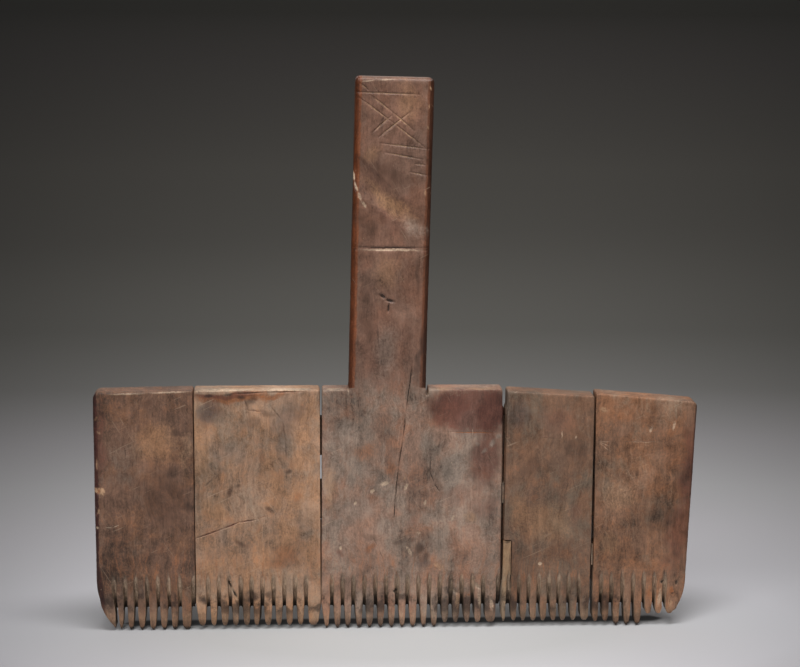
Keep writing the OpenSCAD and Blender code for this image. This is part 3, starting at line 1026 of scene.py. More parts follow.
    def swell(self) -> None:
        """Bulges the joint edges that meet the next board."""
        for swell in self.swells:
            most = max(swell.out)
            weights = swell.push(points_of(self.piece)) / most
            self.push("bulge", weights, Way.ALONG_ROW, swell.side.value * most)

    def carve(self) -> None:
        """Refines the mesh near the marks that have depth, and sinks them."""
        marks = [mark for mark in self.stretches() + self.spots if mark.depth > 0]
        if not marks:
            return
        self.refine(marks)
        places = points_of(self.piece)
        depth = np.zeros(len(places))
        for mark in marks:
            profile = np.clip(SUNK_REACH - mark.reach(places), 0, 1)
            depth = np.maximum(depth, mark.depth * np.sqrt(profile))
        depth[places[:, 1] > FRONT_Y] = 0
        deepest = float(depth.max())
        if deepest > 0:
            self.push("sink", depth / deepest, Way.BACK, deepest)

    def refine(self, marks: list[Spot]) -> None:
        """Splits the front faces that lie close to narrow marks.

        Args:
            marks: The marks.
        """
        middles = rows(self.piece.data.polygons, "center") / MM
        near = np.zeros(len(middles), dtype=bool)
        for mark in marks:
            if mark.half_h < NARROW_MARK:
                size = {"half_w": mark.half_w + FINER_MARGIN, "half_h": mark.half_h + FINER_MARGIN}
                near |= replace(mark, **size).reach(middles) < FINER_REACH
        near &= middles[:, 1] < FRONT_Y
        if not near.any():
            return
        hold(self.piece)
        bpy.ops.object.mode_set(mode="EDIT")
        bpy.ops.mesh.select_mode(type="FACE")
        bpy.ops.mesh.select_all(action="DESELECT")
        bpy.ops.object.mode_set(mode="OBJECT")
        self.piece.data.polygons.foreach_set("select", near)
        bpy.ops.object.mode_set(mode="EDIT")
        bpy.ops.mesh.subdivide(number_cuts=1)
        bpy.ops.object.mode_set(mode="OBJECT")

    def weather(self) -> None:
        """Adds wandering teeth, worn hollows and raised grain."""
        places = points_of(self.piece)
        self.weigh("teeth", climb(places[:, 2], *TEETH_WAVER) * climb(inward(places), *SIDES_WAVER))
        self.displace(Relief("waver", (6, 9, 34), self.waver, Way.ALONG_ROW, 0.5, "teeth"))
        self.displace(Relief("dents", (16, 16, 30), self.dents))
        self.displace(Relief("grain", (0.9, 0.9, 16), 0.16, middle=0.8))
        self.displace(Relief("chips", (1.6, 1.6, 2.6), 0.16))
        self.forget("teeth")

    def displace(self, relief: Relief) -> None:
        """Moves the surface by a stretched cloud pattern.

        Args:
            relief: The pattern and how far it moves the surface.
        """
        if relief.strength <= 0:
            return
        clouds = bpy.data.textures.new(f"{self.node}_{relief.name}", "CLOUDS")
        clouds.noise_scale = 1.0
        clouds.noise_depth = 3
        ruler = bpy.data.objects.new(f"{self.node}_{relief.name}_ruler", None)
        bpy.context.scene.collection.objects.link(ruler)
        ruler.scale = Vector(relief.grain) * MM
        ruler.location = Vector((self.finish.seed, 0.3 * self.finish.seed, 0)) * MM
        bpy.context.view_layer.update()
        settings = {
            "texture": clouds,
            "texture_coords": "OBJECT",
            "texture_coords_object": ruler,
            "direction": relief.way.value,
            "mid_level": relief.middle,
            "strength": relief.strength * MM,
            "vertex_group": relief.group,
        }
        self.modifier(relief.name, "DISPLACE", settings)
        bpy.data.objects.remove(ruler)
        bpy.data.textures.remove(clouds)

    def thin_out(self) -> None:
        """Takes away triangles where the surface is flat, and smooths all but the sharpest edges."""
        self.piece.data.calc_loop_triangles()
        triangles = len(self.piece.data.loop_triangles)
        if triangles > self.most:
            self.modifier("fewer", "DECIMATE", {"ratio": self.most / triangles})
        hold(self.piece)
        bpy.ops.object.shade_smooth_by_angle(angle=math.radians(SHARP_TURN))

    def dress(self) -> None:
        """Gives the piece its wood."""
        self.piece.data.materials.append(self.finish.material(self.spots + self.stretches()))


class BoardRow:
    """The five boards and the let-in tooth, each with its own wood and marks."""

    def build(self) -> None:
        """Builds every board, from left to right."""
        left = (self.left_end(), self.left_inner(), self.centre())
        right = (self.right_inner(), self.right_end(), self.let_in())
        for piece in left + right:
            piece.build()

    def left_end(self) -> WornPiece:
        """Describes the dark left end board.

        Returns:
            The board, ready to build.
        """
        colours = ((112, 84, 68), (122, 86, 63), (108, 90, 77), (60, 43, 36))
        wood = WoodFinish("left_end_wood", *colours, seed=11, warmth=0.4, dust=0.4, contrast=1.15, flank=1.35)
        spots = [
            # The rounded outer edge, dark and red, with pale chips along it
            Spot(-150.8, 92, 60, 1.9, Tone.PLUM, 1.0, 90, 0.3),
            Spot(-151.0, 70, 60, 1.9, Tone.PLUM, 1.0, 90, 0.4),
            Spot(-149.8, 26, 22, 1.8, Tone.PLUM, 0.9, 97, 0.5),
            Spot(-148.6, 100, 30, 4.0, Tone.WINE, 0.6, 89),
            Spot(-149.8, 87, 4.5, 0.7, Tone.TAN, 0.5, 88, 0.8),
            Spot(-149.2, 73.6, 3.6, 2.4, Tone.TAN, 0.8, 80, 0.5, 0.4),
            Spot(-149.4, 73.2, 1.8, 0.9, Tone.RUST, 0.7, 80, 0.8, 0.3),
            Spot(-149.6, 62.8, 1.8, 1.0, Tone.TAN, 0.6, 70, 0.6, 0.2),
            Spot(-150.2, 54.5, 1.0, 0.8, Tone.PALE, 0.6, 0, 0.6, 0.2),
            Spot(-149.8, 110.5, 2.4, 0.8, Tone.OCHRE, 0.6, 60),
            Spot(-148.6, 103.2, 1.8, 0.7, Tone.TAN, 0.5, -50),
            # Broad areas: lighter and warmer in the middle, darker at the lower right
            Spot(-121, 98, 16, 13, Tone.OCHRE, 0.5),
            Spot(-116, 68, 17, 20, Tone.UMBER, 0.6),
            Spot(-125.4, 117.4, 4, 3, Tone.UMBER, 0.6),
            Spot(-111, 103, 4, 3, Tone.DARK, 0.5),
            Spot(-113.8, 83, 4.5, 2.8, Tone.DARK, 0.5, 70),
            Spot(-105.5, 65, 3.5, 3, Tone.DARK, 0.5),
            Spot(-106, 92, 4, 14, Tone.TAN, 0.3),
            Spot(-135.8, 93.5, 3.4, 0.6, Tone.DARK, 0.6, 96),
        ]
        lines = [
            Line(((-146.5, 54.5), (-142.5, 54.7), (-139.5, 55.8)), 0.8, Tone.PALE, 0.7, 0.15),
            # A painted highlight along the top arris
            Line(((-145, 122.6), (-124, 123.2), (-103, 123.8)), 1.2, Tone.PALE, 0.6, 0),
            Line(((-141.5, 84), (-140.6, 70), (-139.5, 60)), 0.4, Tone.UMBER, 0.4, 0.1),
        ]
        bites = [Gouge((-149.6, -7.4, 73.6), (1.6, 1.0, 2.8)), Gouge((-150.9, -6.4, 62.6), (1.0, 0.9, 1.6))]
        swells = [Swell(-101.75, -101.75, Side.RIGHT, (0.26, 0.26))]
        return WornPiece("left_end_board", "left_end_wood", wood, spots, lines, bites, swells)

    def left_inner(self) -> WornPiece:
        """Describes the pale left inner board with its long slanting crack.

        Returns:
            The board, ready to build.
        """
        colours = ((163, 130, 106), (168, 126, 94), (150, 128, 109), (100, 74, 60))
        wood = WoodFinish("left_inner_wood", *colours, seed=23, warmth=0.55, dust=0.55, flank=1.15)
        spots = [
            # The scorched band along the top edge
            Spot(-83, 120.6, 26, 4.0, Tone.RUST, 0.85, 2, 0.6),
            Spot(-86, 122.0, 20, 2.4, Tone.WINE, 0.7, 2, 0.6),
            Spot(-92, 116.5, 8, 5, Tone.WINE, 0.5, -20),
            Spot(-62, 122.4, 15, 2.2, Tone.RUST, 0.7, 1, 0.6),
            Spot(-94, 121.6, 3.2, 1.3, Tone.DARK, 0.7),
            Spot(-84, 122.4, 3.6, 1.0, Tone.DARK, 0.7, 5),
            Spot(-77.5, 120.8, 2.6, 1.4, Tone.DARK, 0.7),
            Spot(-72.6, 118.4, 5.5, 4.0, Tone.DARK, 0.6, 60),
            Spot(-95, 112, 9, 6, Tone.SLATE, 0.75),
            # Grey and dark clouds
            Spot(-65.5, 113.4, 4.2, 3.4, Tone.DARK, 0.45),
            Spot(-72, 107.5, 5, 5, Tone.UMBER, 0.4),
            Spot(-56, 109, 14, 9, Tone.SLATE, 0.5, 80),
            Spot(-57, 96, 8, 5, Tone.GREY, 0.5, 80),
            Spot(-84, 92, 15, 7, Tone.GREY, 0.4),
            Spot(-86, 51, 7, 4, Tone.GREY, 0.4, 70),
            Spot(-45, 60, 16, 6, Tone.GREY, 0.4, 85),
            # Oval spots
            Spot(-83.8, 72.6, 4.6, 1.9, Tone.UMBER, 0.85, 76),
            Spot(-79.6, 75.6, 2.2, 1.4, Tone.UMBER, 0.6, 30),
            Spot(-63.8, 63.2, 4.0, 1.8, Tone.UMBER, 0.8, -32),
            Spot(-53.4, 83, 3.4, 2.0, Tone.UMBER, 0.7, -40),
            Spot(-77, 45, 4.4, 2.6, Tone.UMBER, 0.65, -40),
            # Warm areas
            Spot(-57, 38, 13, 7, Tone.RUST, 0.55, 10),
            Spot(-50, 70, 4, 3, Tone.RUST, 0.5),
            Spot(-97, 90, 4, 12, Tone.OCHRE, 0.5),
            Spot(-91, 65, 9, 9, Tone.OCHRE, 0.5),
            # Dirt and crumbs between the teeth
            Spot(-98, 15.6, 3.4, 2.8, Tone.DARK, 0.75),
            Spot(-74.7, 18, 6, 3.2, Tone.DARK, 0.7),
            Spot(-64.1, 19, 5, 3, Tone.DARK, 0.6),
            Spot(-85.6, 12, 2.4, 1.4, Tone.DARK, 0.5),
            Spot(-62.7, 22.6, 5.5, 0.8, Tone.PALE, 0.7, 86),
            Spot(-50.9, 25.4, 4.4, 0.8, Tone.PALE, 0.7, 84),
            Spot(-81, 17, 4, 0.9, Tone.TAN, 0.7, 110),
        ]
        lines = [
            Line(((-101.3, 48.6), (-87.5, 53.5), (-79.4, 56.8), (-71.4, 58.0)), 0.7, Tone.WINE, 1.0, 0.45),
            Line(((-71.4, 58.0), (-64, 60.6)), 0.5, Tone.RUST, 0.5, 0.1),
            Line(((-97.3, 74.8), (-91.7, 79.9)), 0.6, Tone.DARK, 0.6, 0.15),
            Line(((-80, 122.8), (-66, 123.4), (-48, 123.7)), 0.9, Tone.DARK, 0.7, 0.3),
            # A painted highlight along the top arris
            Line(((-101, 124.1), (-70, 124.5), (-39.5, 124.6)), 1.2, Tone.PALE, 0.85, 0),
            Line(((-76, 120.5), (-74.6, 114.5), (-67, 113.8)), 1.2, Tone.UMBER, 0.6, 0.1),
            Line(((-63.5, 117), (-57.4, 109), (-55.8, 99), (-55.4, 88)), 1.1, Tone.UMBER, 0.5, 0.1),
            Line(((-85.4, 26.8), (-83.4, 21.5), (-80.6, 16.6)), 1.6, Tone.BLACK, 0.9, 0.8),
        ]
        bites = [Gouge((-83, -6.4, 21.6), (5.6, 1.2, 0.8), -64), Gouge((-74.4, -6.6, 19.2), (2.4, 1.2, 2.0))]
        swells = [
            Swell(-101.45, -101.45, Side.LEFT, (0.26, 0.26)),
            Swell(-38.35, -38.75, Side.RIGHT, (0.3, 0.3)),
            Swell(-38.15, -38.55, Side.RIGHT, (0.24, 0.54), 57.0, 5.8),
        ]
        return WornPiece("left_inner_board", "left_inner_wood", wood, spots, lines, bites, swells)

    def centre(self) -> WornPiece:
        """Describes the middle board with the handle.

        Returns:
            The board, ready to build.
        """
        colours = ((145, 116, 99), (152, 110, 87), (142, 125, 111), (88, 66, 56))
        wood = WoodFinish("centre_wood", *colours, seed=37, warmth=0.38, dust=0.62, handle=True)
        spots = [
            # Red brown upper right, with a ragged lower border
            Spot(39, 114, 25, 15, Tone.WINE, 0.8, 0, 0.4),
            Spot(48, 113, 9, 14, Tone.WINE, 0.7, 0, 0.4),
            Spot(26, 117, 13, 9, Tone.WINE, 0.55, 0, 0.6),
            Spot(45, 90, 20, 11, Tone.WINE, 0.7, 80, 0.6),
            Spot(24, 110, 10, 8, Tone.RED, 0.55),
            Spot(45, 64, 11, 7, Tone.RED, 0.45),
            Spot(30, 70, 10, 8, Tone.RED, 0.3),
            # Grey clouds
            Spot(27.7, 83.5, 13, 8.5, Tone.GREY, 0.75, 75, 0.5),
            Spot(48, 97, 3.6, 1.8, Tone.GREY, 0.8, 60),
            Spot(51, 100.4, 2.4, 1.5, Tone.GREY, 0.7, 20),
            Spot(44, 93, 2.6, 1.3, Tone.GREY, 0.7, 40),
            Spot(40.5, 96.5, 2.0, 1.3, Tone.GREY, 0.6, -30),
            Spot(-26, 104, 8, 7, Tone.GREY, 0.5),
            Spot(-18.5, 84, 14, 10, Tone.GREY, 0.45),
            Spot(-20, 62, 14, 9, Tone.GREY, 0.6),
            Spot(16.5, 98.7, 8, 5, Tone.GREY, 0.45, 80),
            Spot(22, 47, 12, 9, Tone.GREY, 0.5),
            Spot(-5, 54, 9, 5, Tone.GREY, 0.5),
            # Warm areas
            Spot(-33, 74, 16, 4.5, Tone.OCHRE, 0.5, 88),
            Spot(-15.5, 92, 8, 6, Tone.RUST, 0.5),
            Spot(-2.6, 85, 6, 4.4, Tone.RUST, 0.55, 80),
            Spot(-13.5, 43.5, 5, 2.4, Tone.RUST, 0.6, 80),
            Spot(37, 58, 6, 4, Tone.OCHRE, 0.5),
            Spot(-29, 41, 3, 3, Tone.RED, 0.6),
            Spot(8, 57, 5, 4, Tone.RED, 0.35),
            # Dark stains
            Spot(11, 42, 5.4, 2.8, Tone.DARK, 0.65, 70),
            Spot(14.2, 37, 4, 2.2, Tone.DARK, 0.5, 50),
            Spot(7.4, 46.8, 3.4, 1.8, Tone.DARK, 0.5, 20),
            Spot(13, 34, 5, 3, Tone.SLATE, 0.5),
            Spot(2, 47, 5, 2.2, Tone.UMBER, 0.5, 30),
            Spot(-14, 49, 7, 2, Tone.UMBER, 0.4),
            # Pale chips
            Spot(-12.3, 72.6, 1.6, 1.3, Tone.PALE, 0.8, 40, 0.5, 0.3),
            Spot(-6.2, 76.4, 3.0, 1.5, Tone.PALE, 0.7, 10, 0.6, 0.2),
            Spot(4.6, 74.6, 2.2, 1.0, Tone.PALE, 0.8, 70, 0.5, 0.3),
            Spot(3.9, 79.0, 1.6, 0.9, Tone.TAN, 0.6, 80),
            Spot(14.4, 66.4, 1.8, 0.9, Tone.PALE, 0.7, 75, 0.6, 0.2),
            Spot(-20.9, 66.4, 1.3, 0.8, Tone.PALE, 0.7, 60, 0.6, 0.2),
            Spot(-28.4, 43, 1.5, 0.8, Tone.PALE, 0.8, 80, 0.6, 0.2),
            Spot(6.4, 41.2, 3.4, 1.1, Tone.PALE, 0.75, -60, 0.6, 0.3),
            Spot(11, 50.5, 1.8, 1.2, Tone.PALE, 0.5),
            Spot(28.5, 58.4, 2.0, 0.9, Tone.PALE, 0.5, 60),
            Spot(20, 33, 3.5, 2.5, Tone.TAN, 0.6),
            # A dark hole among the teeth, and fresh facets on the broken ones
            Spot(-0.5, 19.6, 1.4, 1.1, Tone.BLACK, 0.9, 0, 0.5, 0.8),
            Spot(31.2, 14.5, 5.5, 1.6, Tone.TAN, 0.7, 88),
            Spot(42.6, 15.5, 6.5, 1.5, Tone.PALE, 0.6, 96),
            Spot(48.6, 12.5, 5.0, 1.3, Tone.PALE, 0.6, 100),
            Spot(37.0, 17.6, 1.4, 0.7, Tone.RUST, 0.8),
            # The handle: polished and red at its edges, lighter toward its end
            Spot(4.4, 268, 15, 8, Tone.OCHRE, 0.4, 90),
            Spot(-2, 212, 14, 12, Tone.RED, 0.35, 90),
            Spot(-6, 184, 12, 9, Tone.OCHRE, 0.35, 90),
            Spot(-5, 144, 19, 8, Tone.GREY, 0.4, 90),
            Spot(-15, 164, 24, 4.5, Tone.UMBER, 0.45, 90),
            Spot(10.5, 143, 18, 2.6, Tone.DARK, 0.5, 86),
            Spot(9.8, 180, 12, 1.6, Tone.DARK, 0.45, 94),
            Spot(-9.8, 152, 7, 0.8, Tone.DARK, 0.5, 92),
            # The thumb hollow, painted in light and shade: its upper side darker, its lower side lighter, and
            # darker again below its rim at the left
            Spot(-5, 232, 20, 6, Tone.UMBER, 0.7, -38, 1.0),
            Spot(-4, 218.5, 23, 6.5, Tone.OCHRE, 0.8, -38, 1.0),
            Spot(8, 206, 9, 5, Tone.GREY, 0.5, -45, 1.0),
            Spot(-16.5, 208, 12, 6, Tone.UMBER, 0.6, -50, 1.0),
            Spot(-13, 242, 8, 5, Tone.OCHRE, 0.4, 60, 1.0),
            # Worn flecks on the right edge
            Spot(15.4, 274, 1.6, 0.6, Tone.TAN, 0.7, 100),
            Spot(14.8, 265, 1.8, 0.5, Tone.TAN, 0.6, 80),
            Spot(14.4, 255, 1.4, 0.6, Tone.TAN, 0.6, 95),
            Spot(13.2, 223, 2.2, 0.7, Tone.TAN, 0.5, 88),
            Spot(-7.4, 171.6, 2.0, 1.0, Tone.BLACK, 0.8, -30, 0.5, 0.8),
            Spot(-4.0, 169.4, 2.4, 0.9, Tone.BLACK, 0.8, -15, 0.5, 0.8),
            Spot(-4.6, 165.8, 2.6, 0.6, Tone.BLACK, 0.8, 80, 0.5, 0.6),
        ]
        bites = [
            Gouge((30.0, -6.6, 19.4), (2.6, 1.6, 1.3), -35),
            Gouge((31.6, -7.2, 13.0), (1.4, 1.5, 4.6)),
            Gouge((41.0, -6.6, 22.2), (3.0, 1.6, 1.2), -48),
            Gouge((42.6, -7.2, 14.0), (1.3, 1.6, 6.0)),
            Gouge((48.6, -7.2, 12.0), (1.2, 1.5, 5.0)),
        ]
        swells = [
            Swell(-37.95, -37.55, Side.LEFT, (0.3, 0.3)),
            Swell(-38.15, -37.75, Side.LEFT, (0.24, 0.54), 57.0, 5.8),
            Swell(53.05, 53.05, Side.RIGHT, (0.42, 1.05), 116.0, 5.8),
        ]
        return WornPiece("centre_board", "centre_wood", wood, spots, self.centre_lines(), bites, swells)

    def centre_lines(self) -> list[Line]:
        """Lists the cracks of the middle board and the strokes cut into its handle.

        Returns:
            The lines.
        """
        check = ((7.7, 139.6), (4.3, 112.1), (2.9, 98.8), (0.8, 84.9), (-1.0, 66.3), (-1.4, 58))
        scored = ((-22.6, 196.1), (15.8, 195.7))
        below = ((-22.8, 195.0), (16.0, 194.6))
        cracks = [
            Line(check, 0.6, Tone.BLACK, 0.9, 0.5),
            Line(((17.3, 92), (16.6, 82.7), (18.7, 76.5), (21.7, 71.8)), 0.6, Tone.DARK, 0.9, 0.3),
            Line(((24, 102.8), (52.6, 102.1)), 0.6, Tone.RUST, 0.9, 0.15),
            Line(((38.0, 104.9), (38.1, 100.8)), 0.5, Tone.PALE, 0.7, 0.1),
            Line(((-13, 50), (-9, 43), (-6, 34)), 0.4, Tone.DARK, 0.5, 0.15),
            Line(((9, 50), (4, 45)), 0.5, Tone.DARK, 0.5, 0.1),
            Line(((-19.5, 122), (-18.8, 108)), 0.6, Tone.UMBER, 0.5, 0.1),
            Line(((-24.6, 127), (-24.7, 121)), 0.7, Tone.PALE, 0.6, 0.1),
            # Painted highlights along the top arris, on both sides of the handle
            Line(((-37, 124.5), (-25.5, 124.5)), 1.3, Tone.PALE, 0.6, 0),
            Line(((16, 124.5), (30, 124.7), (52, 124.3)), 1.1, Tone.TAN, 0.5, 0),
            Line(((15.2, 126), (15.5, 120.5)), 0.7, Tone.PALE, 0.6, 0.1),
            # A painted highlight along the lower lip of the scored line
            Line(below, 1.5, Tone.PALE, 0.8, 0.1),
            Line(scored, 1.1, Tone.BLACK, 0.8, 0.3),
            # A painted highlight along the left rim of the thumb hollow
            Line(((-22.2, 234.2), (-21.6, 228.5), (-20.0, 223.4)), 1.5, Tone.PALE, 0.9, 0),
            Line(((-20.0, 223.4), (-18.2, 219.2), (-15.6, 215.4)), 2.2, Tone.PALE, 0.6, 0.2),
            # A painted highlight along the handle's rounded top end
            Line(((-18.6, 277.2), (-11, 278.0), (-1, 278.2)), 1.0, Tone.PALE, 0.55, 0),
        ]
        strokes = (
            ((-20.9, 272.1), (9.3, 271.0)),
            ((-19.0, 276.5), (-15.0, 273.1)),
            ((-18.0, 268.5), (-3.9, 258.1), (12.4, 245.5)),
            ((-13.2, 270.2), (-3.2, 262.5), (6.5, 254.2)),
            ((-12.6, 252.7), (-3.9, 260.5)),
            ((-9.7, 250.3), (5.0, 262.0)),
            ((-8.2, 247.2), (14.4, 244.5)),
            ((-6.7, 242.8), (11.5, 239.4)),
            ((8.1, 237.2), (13.0, 236.7)),
            ((5.7, 233.2), (14.0, 231.6)),
        )
        return cracks + [Line(path, 0.8, Tone.TAN, 0.75, 0.35) for path in strokes]

    def right_inner(self) -> WornPiece:
        """Describes the narrow right inner board, worn away at its upper left edge.

        Returns:
            The board, ready to build.
        """
        colours = ((114, 88, 71), (126, 92, 70), (112, 97, 82), (72, 53, 44))
        wood = WoodFinish("right_inner_wood", *colours, seed=41, dust=0.5, contrast=0.85)
        spots = [
            Spot(62, 112, 10, 8, Tone.SLATE, 0.5, 80),
            Spot(80, 108, 14, 9, Tone.RED, 0.35),
            Spot(90, 92, 8, 12, Tone.UMBER, 0.4),
            Spot(76, 56, 20, 14, Tone.OCHRE, 0.5),
            Spot(61, 62, 6, 12, Tone.OCHRE, 0.4),
            Spot(66, 86, 8, 4, Tone.UMBER, 0.4, 40),
            Spot(90, 60, 5, 10, Tone.RED, 0.35),
            Spot(83, 101, 2.6, 0.4, Tone.PALE, 0.6, 86),
            Spot(90.1, 99.8, 1.2, 0.6, Tone.PALE, 0.6, 60),
            Spot(73, 33.8, 1.4, 1.2, Tone.PALE, 0.8, 0, 0.5, 0.3),
            Spot(55.4, 118, 14, 1.4, Tone.GREY, 0.6, 90),
            Spot(86, 38, 7, 4, Tone.RUST, 0.35),
        ]
        lines = [
            Line(((72.5, 99.4), (82.9, 99.1)), 0.4, Tone.DARK, 0.6, 0.15),
            Line(((88, 82), (91, 70)), 0.4, Tone.DARK, 0.4, 0.1),
        ]
        bites = [Gouge((54.2, -7.6, 118), (1.5, 3.4, 10))]
        swells = [Swell(53.55, 55.15, Side.LEFT, (0.42, 1.05), 116.0, 5.8)]
        return WornPiece("right_inner_board", "right_inner_wood", wood, spots, lines, bites, swells)

    def right_end(self) -> WornPiece:
        """Describes the orange brown right end board with its broken corner teeth.

        Returns:
            The board, ready to build.
        """
        colours = ((132, 99, 78), (141, 98, 70), (128, 108, 90), (84, 59, 47))
        wood = WoodFinish("right_end_wood", *colours, seed=59, warmth=0.5, dust=0.4, contrast=1.1)
        spots = [
            Spot(150.9, 92, 40, 1.6, Tone.PLUM, 0.8, 88, 0.6),
            Spot(147.5, 84, 34, 7.5, Tone.WINE, 0.75, 87),
            Spot(143.5, 50, 28, 9.0, Tone.WINE, 0.65, 84),
            Spot(104, 114.2, 4, 2, Tone.TAN, 0.6),
            Spot(128.2, 103.7, 2.6, 1.0, Tone.PALE, 0.6, 70),
            Spot(139.6, 105.2, 3.0, 1.0, Tone.PALE, 0.6, 80),
            Spot(121.5, 80, 3.4, 1.4, Tone.DARK, 0.6, 80),
            Spot(113, 68, 13, 11, Tone.TAN, 0.35),
            Spot(140, 92, 12, 9, Tone.RUST, 0.35, 80),
            Spot(118, 110, 14, 7, Tone.RUST, 0.3),
            Spot(132, 58, 12, 12, Tone.UMBER, 0.35),
            Spot(108, 45, 7, 10, Tone.OCHRE, 0.4),
            Spot(136.1, 23.4, 1.3, 1.0, Tone.BLACK, 0.8, 20, 0.5, 0.6),
            Spot(143.4, 23.1, 1.6, 0.9, Tone.BLACK, 0.7, 80, 0.5, 0.5),
            Spot(137, 28.5, 3.4, 0.6, Tone.DARK, 0.6, 95),
            Spot(141, 18.9, 3.0, 1.6, Tone.RUST, 0.9, 85),
            Spot(141.4, 17.4, 1.0, 0.8, Tone.DARK, 0.7),
            Spot(135.0, 15.4, 6.0, 1.5, Tone.PALE, 0.6, 82),
            Spot(140.6, 12.0, 4.0, 1.3, Tone.TAN, 0.6, 96),
            Spot(129.4, 18, 4, 1.0, Tone.RUST, 0.5, 88),
        ]
        drops = (0.4, 3.0, 6.0)
        fan = [Line(((101, 97.6), (108.4, 97.6 - drop)), 0.5, Tone.PALE, 0.5, 0.1) for drop in drops]
        falls = [((113 + 4 * i, 97), (118 + 4 * i, 72 + 3 * i)) for i in range(5)]
        rises = [((112, 92 - 5 * i), (134, 97 - 5 * i)) for i in range(5)]
        hatch = [Line(path, 0.4, Tone.TAN, 0.3, 0.06) for path in falls + rises]
        level = [Line(((112.4, 97.1), (135.3, 97.0)), 0.5, Tone.PALE, 0.4, 0.1)]
        bites = [
            Gouge((135.4, -7.4, 14.0), (1.5, 2.2, 5.6), 8),
            Gouge((141.0, -7.6, 12.6), (1.6, 2.4, 5.0), -6),
            Gouge((130.2, -7.4, 9.6), (1.3, 1.8, 4.0)),
            Gouge((136.2, -6.8, 23.6), (1.5, 1.0, 1.2)),
        ]
        lines = fan + hatch + level
        return WornPiece("right_end_board", "right_end_wood", wood, spots, lines, bites)

    def let_in(self) -> WornPiece:
        """Describes the pale tooth let into the right inner board.

        Returns:
            The tooth, ready to build.
        """
        colours = ((150, 122, 94), (146, 112, 82), (150, 130, 108), (96, 72, 56))
        wood = WoodFinish("let_in_wood", *colours, seed=67, stain=0.3, contrast=0.8)
        spots = [
            Spot(56.4, 45.6, 2.4, 1.1, Tone.BLACK, 0.7, 10),
            Spot(57.6, 36, 9, 0.6, Tone.UMBER, 0.5, 88),
        ]
        wear = {"voxel": 0.3, "rounding": 3, "dents": 0.2, "waver": 0.0, "fuller": 0.0}
        return WornPiece("let_in_tooth", "let_in_wood", wood, spots, **wear)


@dataclass
class JointWood:
    """The loose tongues and the slivers in the joints.

    Attributes:
        voxel: Size of the slivers' first even mesh, in millimetres.
        dents: Depth of the slivers' hollows, in millimetres.
        most: Most triangles in each finished sliver.
    """

    voxel: float = 0.18
    dents: float = 0.3
    most: int = 20_000

    def build(self) -> None:
        """Dresses the tongues, which keep their solids, and roughens the slivers."""
        colours = ((74, 54, 42), (84, 60, 44), (80, 68, 58), (44, 32, 26))
        tongue = WoodFinish("tongue_wood", *colours, seed=5, toothed=False).material([])
        for name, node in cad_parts.items():
            if name.endswith("_tongue"):
                node.data.materials.clear()
                node.data.materials.append(tongue)
        colours = ((128, 106, 88), (128, 98, 74), (130, 118, 104), (86, 66, 54))
        fill = WoodFinish("fill_wood", *colours, seed=9, toothed=False)
        sizes = {"voxel": self.voxel, "dents": self.dents, "most": self.most}
        for name in ("right_centre_joint_fill", "right_joint_fill"):
            WornPiece(name, "fill_wood", fill, rounding=0, waver=0.0, fuller=0.0, **sizes).build()


# Studio


# Greys of the floor, a painted falloff of light, and their places along its ramp, from the comb outward
FLOOR_PAINTED_LIGHT = (
    (0.1, (198, 198, 198)),
    (0.2, (214, 212, 216)),
    (0.3, (196, 193, 196)),
    (0.35, (183, 181, 182)),
    (0.4, (162, 159, 160)),
    (0.45, (128, 126, 123)),
    (0.5, (114, 112, 107)),
    (0.65, (128, 124, 117)),
    (0.8, (106, 101, 97)),
    (0.95, (80, 77, 71)),
)


